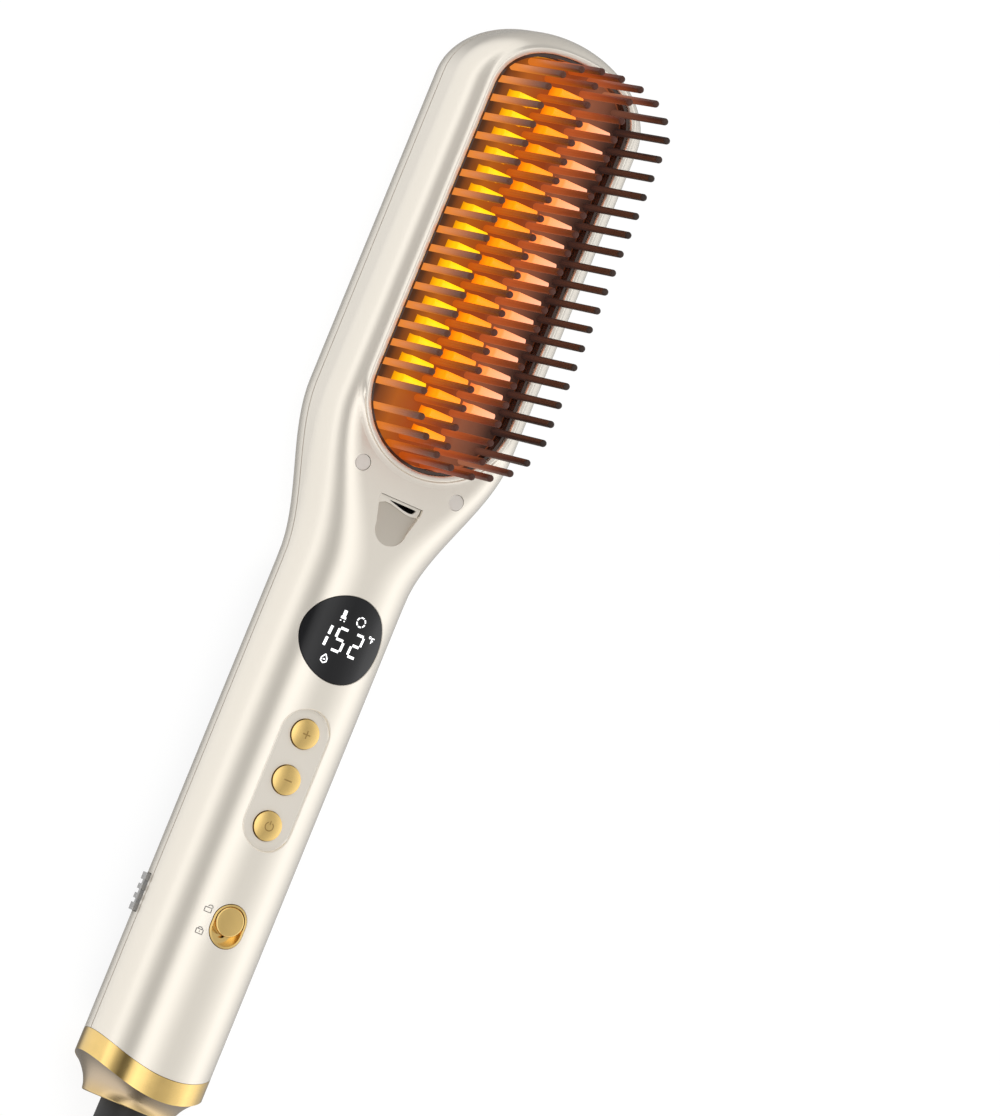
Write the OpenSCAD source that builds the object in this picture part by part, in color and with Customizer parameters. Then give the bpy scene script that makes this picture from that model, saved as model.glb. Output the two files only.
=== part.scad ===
// Steam hair straightening brush: round handle with a lift-off water tank, flat head with a
// heated plate and rigid bristles, mains cord put away as a tied hank.
// It lies on its back: X across, Y along (head towards +Y), Z up, bristles up.

/* [Overall] */
// Radius of the round handle
handle_r = 17.6; // [17.2:0.1:18.4]
// Width of the head
head_w = 55.4; // [53:0.2:60]
// Height of the head's face over the parting plane
head_front = 17.5; // [17:0.1:18.5]
// Depth of the head's back under the parting plane
head_back = 14; // [13:0.1:16]
// Wall of the housing
wall = 2.2; // [1.8:0.1:2.6]

/* [Head] */
// Length of the rounded tip
tip_len = 20; // [18:0.5:24]
// Length of the flare from handle to head
flare_len = 45; // [40:1:55]
// Width of the front edge's rounding, seen from the front
front_cx = 8; // [7:0.2:9]
// Height of the front edge's rounding
front_cz = 11; // [9:0.2:12]
// Width of the back edge's rounding
back_cx = 9; // [7:0.2:10]
// Height of the back edge's rounding
back_cz = 13.2; // [10:0.2:13.4]
// Width of the plate opening
open_w = 41.2; // [38:0.2:43]
// Length of the plate opening
open_len = 114.2; // [104:0.5:118]
// Rim between the opening and the head's tip
open_margin = 5.4; // [5:0.1:8]
// Rise of the opening's end at the tip
open_tip = 15; // [12:0.5:20]
// Rise of the opening's end at the neck
open_neck = 19.6; // [15:0.5:22]
// Width of the raised lip round the opening
open_lip = 1.5; // [1:0.1:2.4]
// Height of that lip over the head's face
lip_rise = 0.5; // [0.2:0.1:0.8]
// Width of the inlay in the head's back
panel_w = 39.8; // [30:0.2:40]
// Length of the inlay in the head's back
panel_len = 101; // [80:1:102]
// Thickness of that inlay
panel_t = 0.9; // [0.7:0.1:1]

/* [Plate and bristles] */
// Wall of the dark frame round the plate
frame_t = 0.8; // [0.6:0.1:1.2]
// Thickness of the heating plate
plate_t = 2; // [1.6:0.1:2.4]
// Thickness of the bristle board
board_t = 1.2; // [1:0.1:1.6]
// Pitch of the bristle rows along the head
row_pitch = 5.27; // [5:0.01:5.6]
// Rows of bristles along the straight sides
rows = 17; // [15:1:17]
// Distance of the outer bristles from the opening's edge
pin_inset = 2.3; // [2.2:0.1:3]
// Height of the outer bristles' tips over the parting plane
pin_top = 45.8; // [38:0.2:48]
// How much lower the inner bristles end
pin_drop = 2; // [0:0.2:4]
// Radius of a bristle
pin_r = 0.95; // [0.7:0.05:1.05]
// Pitch of the columns of teeth across the head
tooth_pitch = 10.7; // [10:0.1:11.2]
// Width of a tooth
tooth_w = 6.6; // [5:0.1:7]
// Thickness of a tooth
tooth_t = 2.2; // [1.6:0.1:2.4]
// Height of the teeth's tops over the parting plane
tooth_top = 20.3; // [16:0.1:23]
// Thickness of a heater bar
heater_t = 1.6; // [1.2:0.1:2]
// Width of a heater bar
heater_w = 8; // [6:0.5:9]
// Distance of the heater bars' ends from the opening's ends
heater_inset = 15; // [12:0.5:20]

/* [Controls] */
// Distance of the display's middle from the cap end
display_y = 132.8; // [130:0.2:134]
// Diameter of the display
display_d = 23.1; // [20:0.1:24]
// Distance of the lowest button from the cap end
button_y = 80.9; // [80:0.1:84]
// Pitch of the buttons
button_pitch = 12.8; // [11.5:0.1:13]
// Diameter of a button
button_d = 7.8; // [7:0.1:8.4]
// Travel of a button
button_travel = 0.5; // [0.3:0.05:0.5]
// Width of the button pocket
pocket_w = 13.9; // [12:0.1:14.5]
// Distance of the slide switch from the cap end
switch_y = 53; // [52:0.2:56]
// Width of the slide switch's well
well_w = 9.4; // [9:0.1:10]
// Length of that well
well_len = 11.7; // [11.4:0.1:13]
// Diameter of the slide switch's knob
knob_d = 7.9; // [7:0.1:8]
// Travel of the knob
knob_travel = 2.5; // [1.5:0.1:2.5]

/* [Neck] */
// Distance from the tank's bay to the plate opening
neck_len = 27.3; // [26.6:0.1:30]
// Distance of the screw covers from the opening
cover_off = 3.4; // [3:0.1:5]
// Distance between the two screw covers
cover_span = 28.7; // [26:0.1:30]
// Diameter of a screw cover
cover_d = 4.1; // [3.8:0.1:4.6]
// Distance of the steam scoop from the opening
scoop_off = 8.7; // [8.5:0.1:11]
// Width of the steam scoop
scoop_w = 12.8; // [11:0.1:14]
// Length of the steam scoop
scoop_len = 12.2; // [11:0.1:13]
// Width of the steam slot
slot_w = 7.1; // [5:0.1:8]

/* [Tank] */
// Distance of the tank's near end from the cap end
tank_y = 19.1; // [18.5:0.1:20]
// Length of the tank with its end piece
tank_len = 132; // [130:0.5:132]
// Width of the tank
tank_w = 32.3; // [31:0.1:33]
// Depth of the tray's face under the parting plane
tray_z = 7; // [6.8:0.1:8]
// Thickness of the tray
tray_t = 2; // [1.8:0.1:2]
// Wall of the tank
tank_wall = 1.5; // [1.2:0.1:1.8]
// Gap between the tank and its bay
tank_gap = 0.25; // [0.2:0.05:0.4]
// Thickness of the tank's inner wall
lid_t = 1.4; // [1.2:0.1:1.8]
// Width of the filler plug
plug_w = 11.6; // [10:0.1:12]
// Length of the filler plug
plug_len = 5.4; // [5:0.1:6.4]
// Height of the ribbed grips over the handle
grip_h = 1.3; // [0.8:0.1:1.6]
// Length of a grip
grip_len = 10.4; // [8:0.2:11]
// Travel of a grip
grip_travel = 1.4; // [0.8:0.1:1.5]

/* [Ring, cap and cord] */
// Distance of the ring's upper edge from the cap end, at the handle's sides
ring_y = 15.6; // [15:0.1:16]
// Width of the ring
ring_w = 6.2; // [5.5:0.1:6.6]
// Radius of the saddle curve that trims the ring
saddle_r = 35.3; // [34:0.1:60]
// Radius of the cap's end face
cap_r = 12.4; // [12:0.1:13]
// Radius of the strain relief where it leaves the cap
relief_r = 6.9; // [6:0.1:7.2]
// Length of the strain relief outside the cap
relief_len = 42; // [30:1:50]
// Diameter of the cord
cord_d = 6; // [5.6:0.1:6]

/* [Hidden] */
$fn = 48;
e = 0.1; // gap between a fixed piece and its seat
run = 0.2; // gap round a piece that slides

// Places along the brush, from the cap end
tray_end = tank_y + tank_len + 2;
open_y0 = tray_end + neck_len;
open_y1 = open_y0 + open_len;
body_len = open_y1 + open_margin; // from the end cap to the head's tip
flare_y1 = open_y0 + 12.6;
flare_y0 = flare_y1 - flare_len;
tip_y = body_len - tip_len;
cover_y = open_y0 - cover_off;
gen_y = tray_end + 0.9;
gen_len = open_y0 - 3.4 - gen_y;
chamber_y = open_y0 - scoop_off + 1; // steam chamber behind the scoop's end wall
scoop_y1 = chamber_y - 1;
scoop_y0 = scoop_y1 - scoop_len;
nozzle_y = chamber_y + 1.9;
switch_len = well_len + 0.2;
board_y0 = switch_y - 7;
board_y1 = display_y + display_d / 2 + 3.2;
plug_y = tank_y + 13;
outlet = [6, tank_y + tank_len - 8.1];
pump_x = 8.2;
pump_y = outlet[1] - 39;
head_y = pump_y + 22;

axis_z = handle_r + 0.2; // height of the handle's axis over the table

// Heights over the parting plane
plate_top = 12;
plate_z = plate_top - plate_t;
ledge_z = plate_z - e;
ledge_t = 1.5;
heater_z = plate_z - heater_t;
shield_z = ledge_z - ledge_t - e;
shield_t = 1.5;
lip_z = 12.7;
scoop_z = 15; // floor of the scoop at its deep end
board_z = handle_r - 9.1; // top of the control board
board_z0 = board_z - 1.2;
lens_z = handle_r - 5.6; // flat back of the display lens
pocket_z = handle_r - 3.3; // seat of the button plate
plate_up = 1.6;
key_top = handle_r - 5.8; // top of the key switches' plungers
button_z0 = key_top + button_travel + e;
well_z = handle_r - 4.4; // seat of the switch well
floor_z = -(tray_z - tray_t); // tray floor inside the handle
panel_z = -head_back + 2.25 - panel_t;
skin_n = 11; // points round each moulded edge

// Bristle rows
row_y = open_y1 - 12;
pin_a = open_w / 2 - pin_inset;
head_arc = [0, 6, 11.5, 15.8];
neck_arc = [3.2, 8.2, 12.9, 16.2];

// Cord: route of the free stretch, in the part's frame, and the tied hank
cord_r = cord_d / 2;
cord_y = -body_len / 2 - relief_len;
hank_turns = 6;
hank_fold = 18; // bend of the innermost fold
hank_step = 7.2;
hank_layer = 6.6;
hank_run = 56; // straight length between the folds
hank_waist = 8; // how far the tie draws the runs in
hank_z = cord_r + 1.4; // lowest layer, over the tie
hank_x = hank_fold + 1.604 * hank_step; // outermost run
hank_top = hank_z + 3 * hank_layer;
hank_y = cord_y - 132; // middle of the hank
lead = 12;
plug_z = 7.6;
plug_x = hank_x - 12.2;
// Last stretch to the plug: [way out of the hank, share of the way in and up]
lead_out = 66;
way_out = [[10, 0], [20, 0], [30, 0.125], [40, 0.5], [50, 0.875], [60, 1], [lead_out, 1]];
cord_route = [[0, cord_y, axis_z], [0, cord_y - 12, axis_z], [1.4, cord_y - 24, 18.2],
  [6.4, cord_y - 36, 19.2], [14.4, cord_y - 47.5, 20.9], [22.4, cord_y - 59, 22.6],
  [27.4, cord_y - 71, 23.8], [hank_x, cord_y - 83, hank_top],
  [hank_x, hank_y + hank_run / 2 + lead, hank_top]];

function clamp(t) = min(1, max(0, t));
function smooth(t) = let (c = clamp(t)) c * c * (3 - 2 * c);
function mix(a, b, t) = a + (b - a) * t;
function flare(y) = smooth((y - flare_y0) / flare_len);
function half_w(y) = mix(handle_r, head_w / 2, flare(y));

// An oval like the plate opening, drawn in by d
function oval(d, a = open_w / 2, y0 = open_y0, y1 = open_y1, b0 = open_neck, b1 = open_tip,
              n0 = 2, n1 = 2.3, m = 14) = concat(
  [for (i = [0:m]) let (v = 90 * i / m)
    [(a - d) * pow(cos(v), 2 / n1), y1 - b1 + (b1 - d) * pow(sin(v), 2 / n1)]],
  [for (i = [1:m]) let (v = 90 - 90 * i / m)
    [-(a - d) * pow(cos(v), 2 / n1), y1 - b1 + (b1 - d) * pow(sin(v), 2 / n1)]],
  [for (i = [0:m]) let (v = 90 * i / m)
    [-(a - d) * pow(cos(v), 2 / n0), y0 + b0 - (b0 - d) * pow(sin(v), 2 / n0)]],
  [for (i = [1:m]) let (v = 90 - 90 * i / m)
    [(a - d) * pow(cos(v), 2 / n0), y0 + b0 - (b0 - d) * pow(sin(v), 2 / n0)]]);

module slab(points, z0, z1) {
  translate([0, 0, z0]) linear_extrude(z1 - z0) polygon(points);
}

// A stadium along Y round [0, y]
module stadium(w, l, y, z0, z1, x = 0) {
  translate([x, y, z0]) linear_extrude(z1 - z0) union() {
    square([w, l - w], center = true);
    for (s = [-1, 1]) translate([0, s * (l - w) / 2]) circle(d = w);
  }
}

// A stadium across, longer in X
module oval_button(w, l, y, z0, z1) {
  translate([0, y, z0]) linear_extrude(z1 - z0) union() {
    square([w - l, l], center = true);
    for (s = [-1, 1]) translate([s * (w - l) / 2, 0]) circle(d = l);
  }
}

module along_y(r, y0, y1, x = 0, z = 0) {
  translate([x, y1, z]) rotate([90, 0, 0]) cylinder(r = r, h = y1 - y0);
}

module upright(r, z0, z1, x = 0, y = 0) {
  translate([x, y, z0]) cylinder(r = r, h = z1 - z0);
}

module box(x0, x1, y0, y1, z0, z1) {
  translate([x0, y0, z0]) cube([x1 - x0, y1 - y0, z1 - z0]);
}

// The brush is drawn with the handle's axis as Z = 0 and the cap's end as Y = 0
module placed() {
  translate([0, -body_len / 2, axis_z]) children();
}

// ---- Moulded housing: half a skin, swept along the brush ----

// Half width, height and edge rounding of a section of the housing, drawn in by t.
// f is 1 for the front half and 0 for the rear half.
function section(y, t, f) = let (s = flare(y), w = half_w(y) - t,
    h = mix(handle_r, f * head_front + (1 - f) * head_back, s) - t,
    cx = mix(handle_r - 0.4, f * front_cx + (1 - f) * back_cx, s) - t,
    cz = mix(handle_r - 0.4, f * front_cz + (1 - f) * back_cz, s) - t)
  t == 0 || f == 1 || y < tank_y - 1.5 || y > tray_end
    ? [w, h, cx, cz] : [handle_r - t, -floor_z, 1, 1];

// One section's points, from the parting plane over the edge to the middle, as [x, y, z].
// v turns the section round the head's rounded tip.
function quarter(y, v, t, f) = let (s = section(y, t, f), tip = tip_len - t)
  [for (i = [-1:skin_n - 1]) let (a = 90 * max(i, 0) / (skin_n - 1), d = s[2] * (1 - cos(a)),
      z = i < 0 ? 0 : s[1] - s[3] + s[3] * sin(a))
    v == 0 ? [s[0] - d, y, z] : [(s[0] - d) * cos(v), y + (tip - d) * sin(v), z]];

function whole(q) = concat(q, [for (i = [len(q) - 1:-1:0]) [-q[i][0], q[i][1], q[i][2]]]);

// Stations along the brush as [y, v]
flare_ys = [for (i = [0:9]) mix(flare_y0, flare_y1, i / 9)];
stations = concat(
  [for (y = [3, tank_y - 1.6, tank_y - 1.4]) [y, 0]],
  [for (y = flare_ys) if (y < tray_end - 1) [y, 0]],
  [for (y = [tray_end - 0.1, tray_end + 0.1]) [y, 0]],
  [for (y = flare_ys) if (y > tray_end + 1) [y, 0]],
  [for (v = [0, 12, 24, 36, 48, 58, 68, 76, 84, 90]) [tip_y, v]]);

module half_shell(f, t) {
  outer = [for (s = stations) whole(quarter(s[0], s[1], 0, f))];
  inner = [for (s = stations) whole(quarter(s[0], s[1], t, f))];
  n = len(outer[0]);
  m = len(stations);
  off = n * m;
  // the last section is folded shut, so its left half uses the right half's points
  function at(j, i) = j * n + (j == m - 1 && i >= n / 2 ? n - 1 - i : i);
  function quad(a, b, c, d) = concat(a == b || a == c || b == c ? [] : [[a, b, c]],
    a == c || a == d || c == d ? [] : [[a, c, d]]);
  faces = [for (list = concat(
    [for (j = [0:m - 2], i = [0:n - 2]) quad(at(j, i), at(j, i + 1), at(j + 1, i + 1), at(j + 1, i))],
    [for (j = [0:m - 2], i = [0:n - 2])
      quad(off + at(j, i), off + at(j + 1, i), off + at(j + 1, i + 1), off + at(j, i + 1))],
    [for (j = [0:m - 2])
      quad(at(j, 0), at(j + 1, 0), off + at(j + 1, 0), off + at(j, 0))],
    [for (j = [0:m - 2])
      quad(at(j, n - 1), off + at(j, n - 1), off + at(j + 1, n - 1), at(j + 1, n - 1))],
    [for (i = [0:n - 2]) quad(at(0, i + 1), at(0, i), off + at(0, i), off + at(0, i + 1))]))
    each list];
  points = concat([for (s = outer) each s], [for (s = inner) each s]);
  if (f == 1) polyhedron(points, faces);
  else polyhedron([for (p = points) [p[0], p[1], -p[2]]], [for (k = faces) [k[2], k[1], k[0]]]);
}

// The saddle: everything towards the cord from a curve across the handle
module saddle(y) {
  translate([-handle_r - 2, y - saddle_r, 0]) rotate([0, 90, 0])
    cylinder(r = saddle_r, h = 2 * handle_r + 4);
}

// What lies inside the middle of the handle's wall, so ribs never show outside
module in_wall() {
  intersection() {
    children();
    along_y(handle_r - wall / 2, 0, flare_y0 + 4);
  }
}

// An upright that runs up into the wall of the front half
module post(x, y, r = 1.8, z = board_z) {
  in_wall() upright(r, z, handle_r, x, y);
}

module both(x) {
  for (s = [-1, 1]) translate([s * x, 0, 0]) children();
}

// ---- Housing ----

board_posts = [[9, board_y0 + 3.5], [9, board_y0 + 16.5], [9, board_y1 - 2.6]];
main_y = [tank_y + 3, pump_y - 7.9];
main_posts = [[9.4, main_y[0] + 11], [9, main_y[1] - 4.5]];

module front_shell() {
  color("Cornsilk") placed() difference() {
    union() {
      half_shell(1, wall);
      difference() {
        union() {
          slab(oval(-1.4), lip_z, head_front - 2);
          slab(oval(-open_lip), head_front - 1.6, head_front + lip_rise);
        }
        slab(oval(0), lip_z - 1, handle_r + head_front);
      }
      both(cover_span / 2) upright(cover_d / 2 + 1.15, 0, head_front - 1.2, 0, cover_y);
      in_wall() stadium(pocket_w + 2.4, 2 * button_pitch + pocket_w + 1.8, button_y + button_pitch,
        pocket_z - 1.4, handle_r);
      in_wall() stadium(well_w + 2.8, well_len + 2.8, switch_y, well_z - 0.9, handle_r);
      for (p = board_posts, k = [-1, 1]) post(k * p[0], p[1]);
      box(-8, 8, scoop_y0 - 1, chamber_y + 5, lip_z, head_front - 1.2);
    }
    saddle(ring_y);
    slab(oval(0), lip_z - 1, 2 * handle_r);
    both(cover_span / 2) {
      upright(cover_d / 2 + e, 3, 2 * handle_r, 0, cover_y);
      upright(1.3, -1, 4, 0, cover_y);
    }
    upright(display_d / 2 + e, 5, 2 * handle_r, 0, display_y);
    button_pocket();
    well_hole();
    scoop();
    box(-slot_w / 2 - 0.95, slot_w / 2 + 0.95, chamber_y, chamber_y + 3.8, lip_z - 1, scoop_z + 1.9);
    box(-slot_w / 2, slot_w / 2, scoop_y1 - 1, chamber_y + 1, scoop_z + 0.3, scoop_z + 1.9);
    for (p = board_posts) both(p[0]) upright(0.8, board_z - 1, board_z + 3.6, 0, p[1]);
  }
}

module button_pocket() {
  stadium(pocket_w, 2 * button_pitch + pocket_w - 0.6, button_y + button_pitch, pocket_z, 2 * handle_r);
  stadium(pocket_w - 2.2, 2 * button_pitch + pocket_w - 2.8, button_y + button_pitch,
    5, pocket_z + 1);
}

module well_hole() {
  stadium(well_w + 2 * e, switch_len, switch_y, well_z, 2 * handle_r);
  stadium(well_w - 1.8, well_len - 1.8, switch_y, 5, well_z + 1);
}

// Sloping scoop in the neck, deepest at its end wall
module scoop() {
  w = scoop_w / 2;
  r = 0.72 * w;
  fall = atan((head_front - scoop_z) / scoop_len);
  intersection() {
    translate([0, 0, scoop_z - 2]) linear_extrude(handle_r)
      polygon(concat([[w, scoop_y1], [w, scoop_y1 - 1.5]],
        [for (i = [0:12]) let (a = 15 * i) [r * cos(a), scoop_y0 + r - r * sin(a)]],
        [[-w, scoop_y1 - 1.5], [-w, scoop_y1]]));
    translate([0, scoop_y1, scoop_z]) rotate([-fall, 0, 0]) box(-w, w, -20, 5, 0, 12);
  }
}

// Depth of the middle of the rear wall under the parting plane, at x and y
function wall_depth(x, y) = mix(sqrt(pow(handle_r - wall / 2, 2) - x * x), head_back - wall / 2, flare(y));

module rear_shell() {
  color("Cornsilk") placed() difference() {
    union() {
      half_shell(0, wall);
      both(cover_span / 2) upright(2.6, -head_back + 0.9, 0, 0, cover_y);
      for (y = [gen_y + 3.4, gen_y + gen_len - 3.4]) both(7) upright(2, -wall_depth(7, y), -6 - e, 0, y);
      for (p = main_posts) both(p[0]) upright(2.2, floor_z - 0.5, floor_z + 1.2, 0, p[1]);
    }
    saddle(ring_y);
    slab(tank_plan(0), -2 * handle_r, -tray_z);
    slab(panel_plan(0), -2 * handle_r, panel_z);
    both(cover_span / 2) upright(1.05, -7.5, 1, 0, cover_y);
    for (s = [-1, 1]) scale([s, 1, 1])
      box(handle_r - 5.2, 2 * handle_r, switch_y - grip_len / 2 - run, switch_y + grip_len / 2 + run,
        -6 - run, -1.5 + run);
    upright(4, -tray_z - 1, 0, outlet[0], outlet[1]);
    upright(2.65, -tray_z - 1, -tray_z + 0.9, 0, pump_y + 15);
    upright(1.5, -tray_z - 1, 0, 0, pump_y + 15);
    both(main_posts[0][0]) {
      upright(1.9, -tray_z - 1, -tray_z + 0.8, 0, main_posts[0][1]);
      upright(1.1, -tray_z - 1, 0, 0, main_posts[0][1]);
    }
    both(main_posts[1][0]) upright(0.8, floor_z + 0.2, 0, 0, main_posts[1][1]);
    tray_marks();
  }
}

// Plan of the tank, and of the bay it fits, drawn in by d
function tank_plan(d) = oval(d, tank_w / 2, tank_y, tank_y + tank_len, 10.5, tank_w / 2, 2.7, 2, 12);
function panel_plan(d) = oval(d, panel_w / 2, open_y0 + 5.1, open_y0 + 5.1 + panel_len,
  19, 16, 2, 2.2, 12);

// Shallow steps and marks of the tray, seen through the tank
module tray_marks() {
  z = -tray_z;
  box(-14, 14, tank_y + 7, tank_y + 7.4, z - 1, z + 0.4);
  box(-12, -8, tank_y + 24, tank_y + 104, z - 1, z + 0.5);
  box(0, 15, tank_y + 108, tank_y + 108.4, z - 1, z + 0.4);
  box(-15, 0.4, tank_y + 111.6, tank_y + 112, z - 1, z + 0.4);
  box(0, 0.4, tank_y + 108.2, tank_y + 111.8, z - 1, z + 0.4);
  upright(0.8, z - 1, z + 0.6, 0, tank_y + 85.2);
  difference() {
    upright(3, z - 1, z + 0.3, 0, tank_y + 50);
    upright(2.6, z - 2, z + 1, 0, tank_y + 50);
  }
}

module rear_panel() {
  color("Linen") placed() slab(panel_plan(e), panel_z - e - panel_t, panel_z - e);
}

module screw_covers() {
  color("Tan") placed() both(cover_span / 2)
    upright(cover_d / 2, head_front - 3.5, head_front - 0.3, 0, cover_y);
}

module case_screws() {
  color("Silver") placed() both(cover_span / 2) difference() {
    union() {
      upright(1.8, 3, 5, 0, cover_y);
      upright(1.05, -6.5, 3.5, 0, cover_y);
    }
    translate([0, cover_y, 4.6]) {
      cube([2.2, 0.5, 1.6], center = true);
      cube([0.5, 2.2, 1.6], center = true);
    }
  }
}

// ---- Plate and bristles ----

module plate_frame() {
  color("SaddleBrown") placed() difference() {
    union() {
      slab(oval(e), ledge_z - ledge_t, head_front - 0.6);
      slab(oval(-1.3), lip_z - 1.3, lip_z - e);
    }
    slab(oval(e + frame_t), ledge_z, head_front + 1);
    slab(oval(3.6), ledge_z - ledge_t - 1, ledge_z + 1);
  }
}

function plate_plan(d) = oval(d + e + frame_t + 0.3);
tooth_rows = [for (k = [0:rows - 2]) row_y - row_pitch * (k + 0.5)];
middle_rows = [for (k = [-1:rows]) row_y - row_pitch * (k + 0.5)];

module heating_plate() {
  color("DarkOrange") placed() {
    slab(plate_plan(0), plate_z, plate_top);
    for (y = tooth_rows) both(tooth_pitch) tooth(y);
    for (y = middle_rows) tooth(y);
  }
}

module tooth(y) {
  r = tooth_t / 2;
  translate([-tooth_w / 2, y, 0]) rotate([90, 0, 90]) linear_extrude(tooth_w) union() {
    translate([-r, plate_top - 0.5]) square([2 * r, tooth_top - r - plate_top + 0.5]);
    translate([0, tooth_top - r]) circle(r = r, $fn = 16);
  }
}

module bristle_field() {
  board_z = plate_top + e;
  s = rows > 16 ? 1 : 0;
  color("DimGray") placed() {
    difference() {
      slab(plate_plan(0.1), board_z, board_z + board_t);
      for (y = tooth_rows) both(tooth_pitch) tooth_window(y);
      for (y = middle_rows) tooth_window(y);
    }
    for (k = [0:rows - 1]) both(pin_a) pin(0, row_y - row_pitch * k, pin_top);
    for (k = [-1:rows + s]) both(tooth_pitch / 2) pin(0, row_y - row_pitch * k, pin_top - pin_drop);
    for (x = head_arc, m = x == 0 ? [1] : [-1, 1])
      pin(m * x, open_y1 - open_tip + (open_tip - 2.4) * pow(1 - pow(x / pin_a, 2.3), 1 / 2.3), pin_top);
    for (x = neck_arc, m = [-1, 1])
      pin(m * x, open_y0 + open_neck - (open_neck - 2.3) * sqrt(1 - pow(x / pin_a, 2)), pin_top);
  }
}

module tooth_window(y) {
  w = tooth_w / 2 + 0.3;
  box(-w, w, y - tooth_t / 2 - 0.3, y + tooth_t / 2 + 0.3, plate_top - 1, plate_top + board_t + 1);
}

module pin(x, y, top) {
  $fn = 16;
  upright(pin_r, plate_top + 0.5, top - pin_r, x, y);
  translate([x, y, top - pin_r]) sphere(r = pin_r);
}

module heater_bars() {
  color("Silver") placed() both(6)
    box(-heater_w / 2, heater_w / 2, open_y0 + heater_inset, open_y1 - heater_inset,
      heater_z + e, plate_z - e);
}

module heat_sensor() {
  color("White") placed() union() {
    box(-1.2, 1.2, open_y0 + 50, open_y0 + 58, heater_z + 0.2, plate_z - e);
    box(-0.5, 0.5, open_y0 + 18, open_y0 + 51, heater_z + 0.2, heater_z + 0.9);
  }
}

module heat_shield() {
  color("Gainsboro") placed() difference() {
    slab(oval(0.8), shield_z - shield_t, shield_z);
    for (y = [30, 84]) both(0) stadium(8, 12, open_y0 + y, shield_z - shield_t - 1, shield_z + 1);
  }
}

// ---- Steam ----

module steam_nozzle() {
  w = slot_w / 2 + 0.85;
  color("Black") placed() difference() {
    union() {
      box(-w, w, chamber_y + e, chamber_y + 3.7, lip_z - 1, scoop_z + 1.8);
      upright(1.7, 7, lip_z - 0.5, 0, nozzle_y);
    }
    box(-slot_w / 2 + 0.4, slot_w / 2 - 0.4, chamber_y - 1, chamber_y + 3, scoop_z + 0.5, scoop_z + 1.6);
    upright(1, 6, scoop_z + 1, 0, nozzle_y);
  }
}

module steam_generator() {
  color("DarkGray") placed() difference() {
    union() {
      box(-10.4, 10.4, gen_y, gen_y + gen_len, -6, 4);
      upright(1.7, 3, 6.4, 0, nozzle_y);
    }
    upright(1, 2, 7, 0, nozzle_y);
    for (i = [0:2]) box(-8, 8, gen_y + 4 + 5 * i, gen_y + 6 + 5 * i, 3.2, 5);
  }
}

module steam_pipe() {
  color("WhiteSmoke") placed() difference() {
    upright(2.6, 4 + e, lip_z - 1 - e, 0, nozzle_y);
    upright(1.75, 3, lip_z, 0, nozzle_y);
  }
}

module pump() {
  color("SlateGray") placed() difference() {
    union() {
      along_y(5, pump_y, head_y, pump_x, 0);
      box(pump_x - 3, pump_x + 3, pump_y + 1, head_y, floor_z + e, -3);
      box(pump_x - 4.8, pump_x + 5, head_y, head_y + 8, floor_z + e, 5);
      along_y(1.4, head_y + 7, head_y + 10, outlet[0], -2.4);
      along_y(1.1, head_y + 7, head_y + 11, 9, 2.5);
      upright(3, floor_z + e, -1.5, 0, pump_y + 15);
      box(0, pump_x, pump_y + 13, pump_y + 17, floor_z + e, -2);
    }
    upright(1.3, floor_z - 1, -2.5, 0, pump_y + 15);
  }
}

module suction_hose() {
  color("WhiteSmoke") placed() difference() {
    along_y(2.3, head_y + 8 + e, outlet[1] - 4.3 - e, outlet[0], -2.4);
    along_y(1.45, head_y, outlet[1], outlet[0], -2.4);
  }
}

module pressure_hose() {
  color("WhiteSmoke") placed() difference() {
    along_y(2, head_y + 8 + e, gen_y - e, 9, 2.5);
    along_y(1.15, head_y, gen_y + 1, 9, 2.5);
  }
}

// Socket in the tray that takes the tank's outlet
module tank_port() {
  color("Gray") placed() difference() {
    union() {
      upright(4.3, floor_z + e, -0.8, outlet[0], outlet[1]);
      along_y(1.4, outlet[1] - 6.3, outlet[1] - 3, outlet[0], -2.4);
    }
    upright(2.58, floor_z - 1, floor_z + 1.4, outlet[0], outlet[1]);
    upright(1.2, floor_z, -2, outlet[0], outlet[1]);
    along_y(0.8, outlet[1] - 7, outlet[1], outlet[0], -2.4);
  }
}

module tank_seal() {
  color("Black") placed() difference() {
    upright(3.9, -tray_z + e, floor_z, outlet[0], outlet[1]);
    upright(2.58, -tray_z - 1, 0, outlet[0], outlet[1]);
  }
}

// ---- Tank ----

module tank_shell() {
  r = handle_r - tank_wall;
  color("DimGray", 0.6) placed() difference() {
    intersection() {
      along_y(handle_r, tank_y - 5, tray_end + 5);
      slab(tank_plan(tank_gap), -2 * handle_r, -tray_z - tank_gap);
    }
    intersection() {
      along_y(r, tank_y - 5, tray_end + 5);
      slab(tank_plan(tank_gap + tank_wall), -2 * handle_r, -tray_z + 1);
    }
    difference() {
      oval_button(plug_w + 2 * e, plug_len + 2 * e, plug_y, -2 * handle_r, -10);
      along_y(handle_r - 0.9, 0, tank_y + tank_len);
    }
    oval_button(plug_w - 2, plug_len - 1, plug_y, -2 * handle_r, -10);
    difference() {
      box(-20, 20, tank_y + 19.6, tank_y + 20.1, -2 * handle_r, 0);
      along_y(handle_r - 0.4, 0, 60);
    }
  }
}

module tank_lid() {
  z = -tray_z - tank_gap;
  color("DimGray", 0.6) placed() difference() {
    union() {
      intersection() {
        along_y(handle_r - tank_wall - e, tank_y - 5, tray_end + 5);
        slab(tank_plan(tank_gap + tank_wall + e), z - lid_t, z);
      }
      upright(2.5, z - 0.5, floor_z + 1.2, outlet[0], outlet[1]);
    }
    upright(1.5, z - 3, 0, outlet[0], outlet[1]);
  }
}

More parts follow.
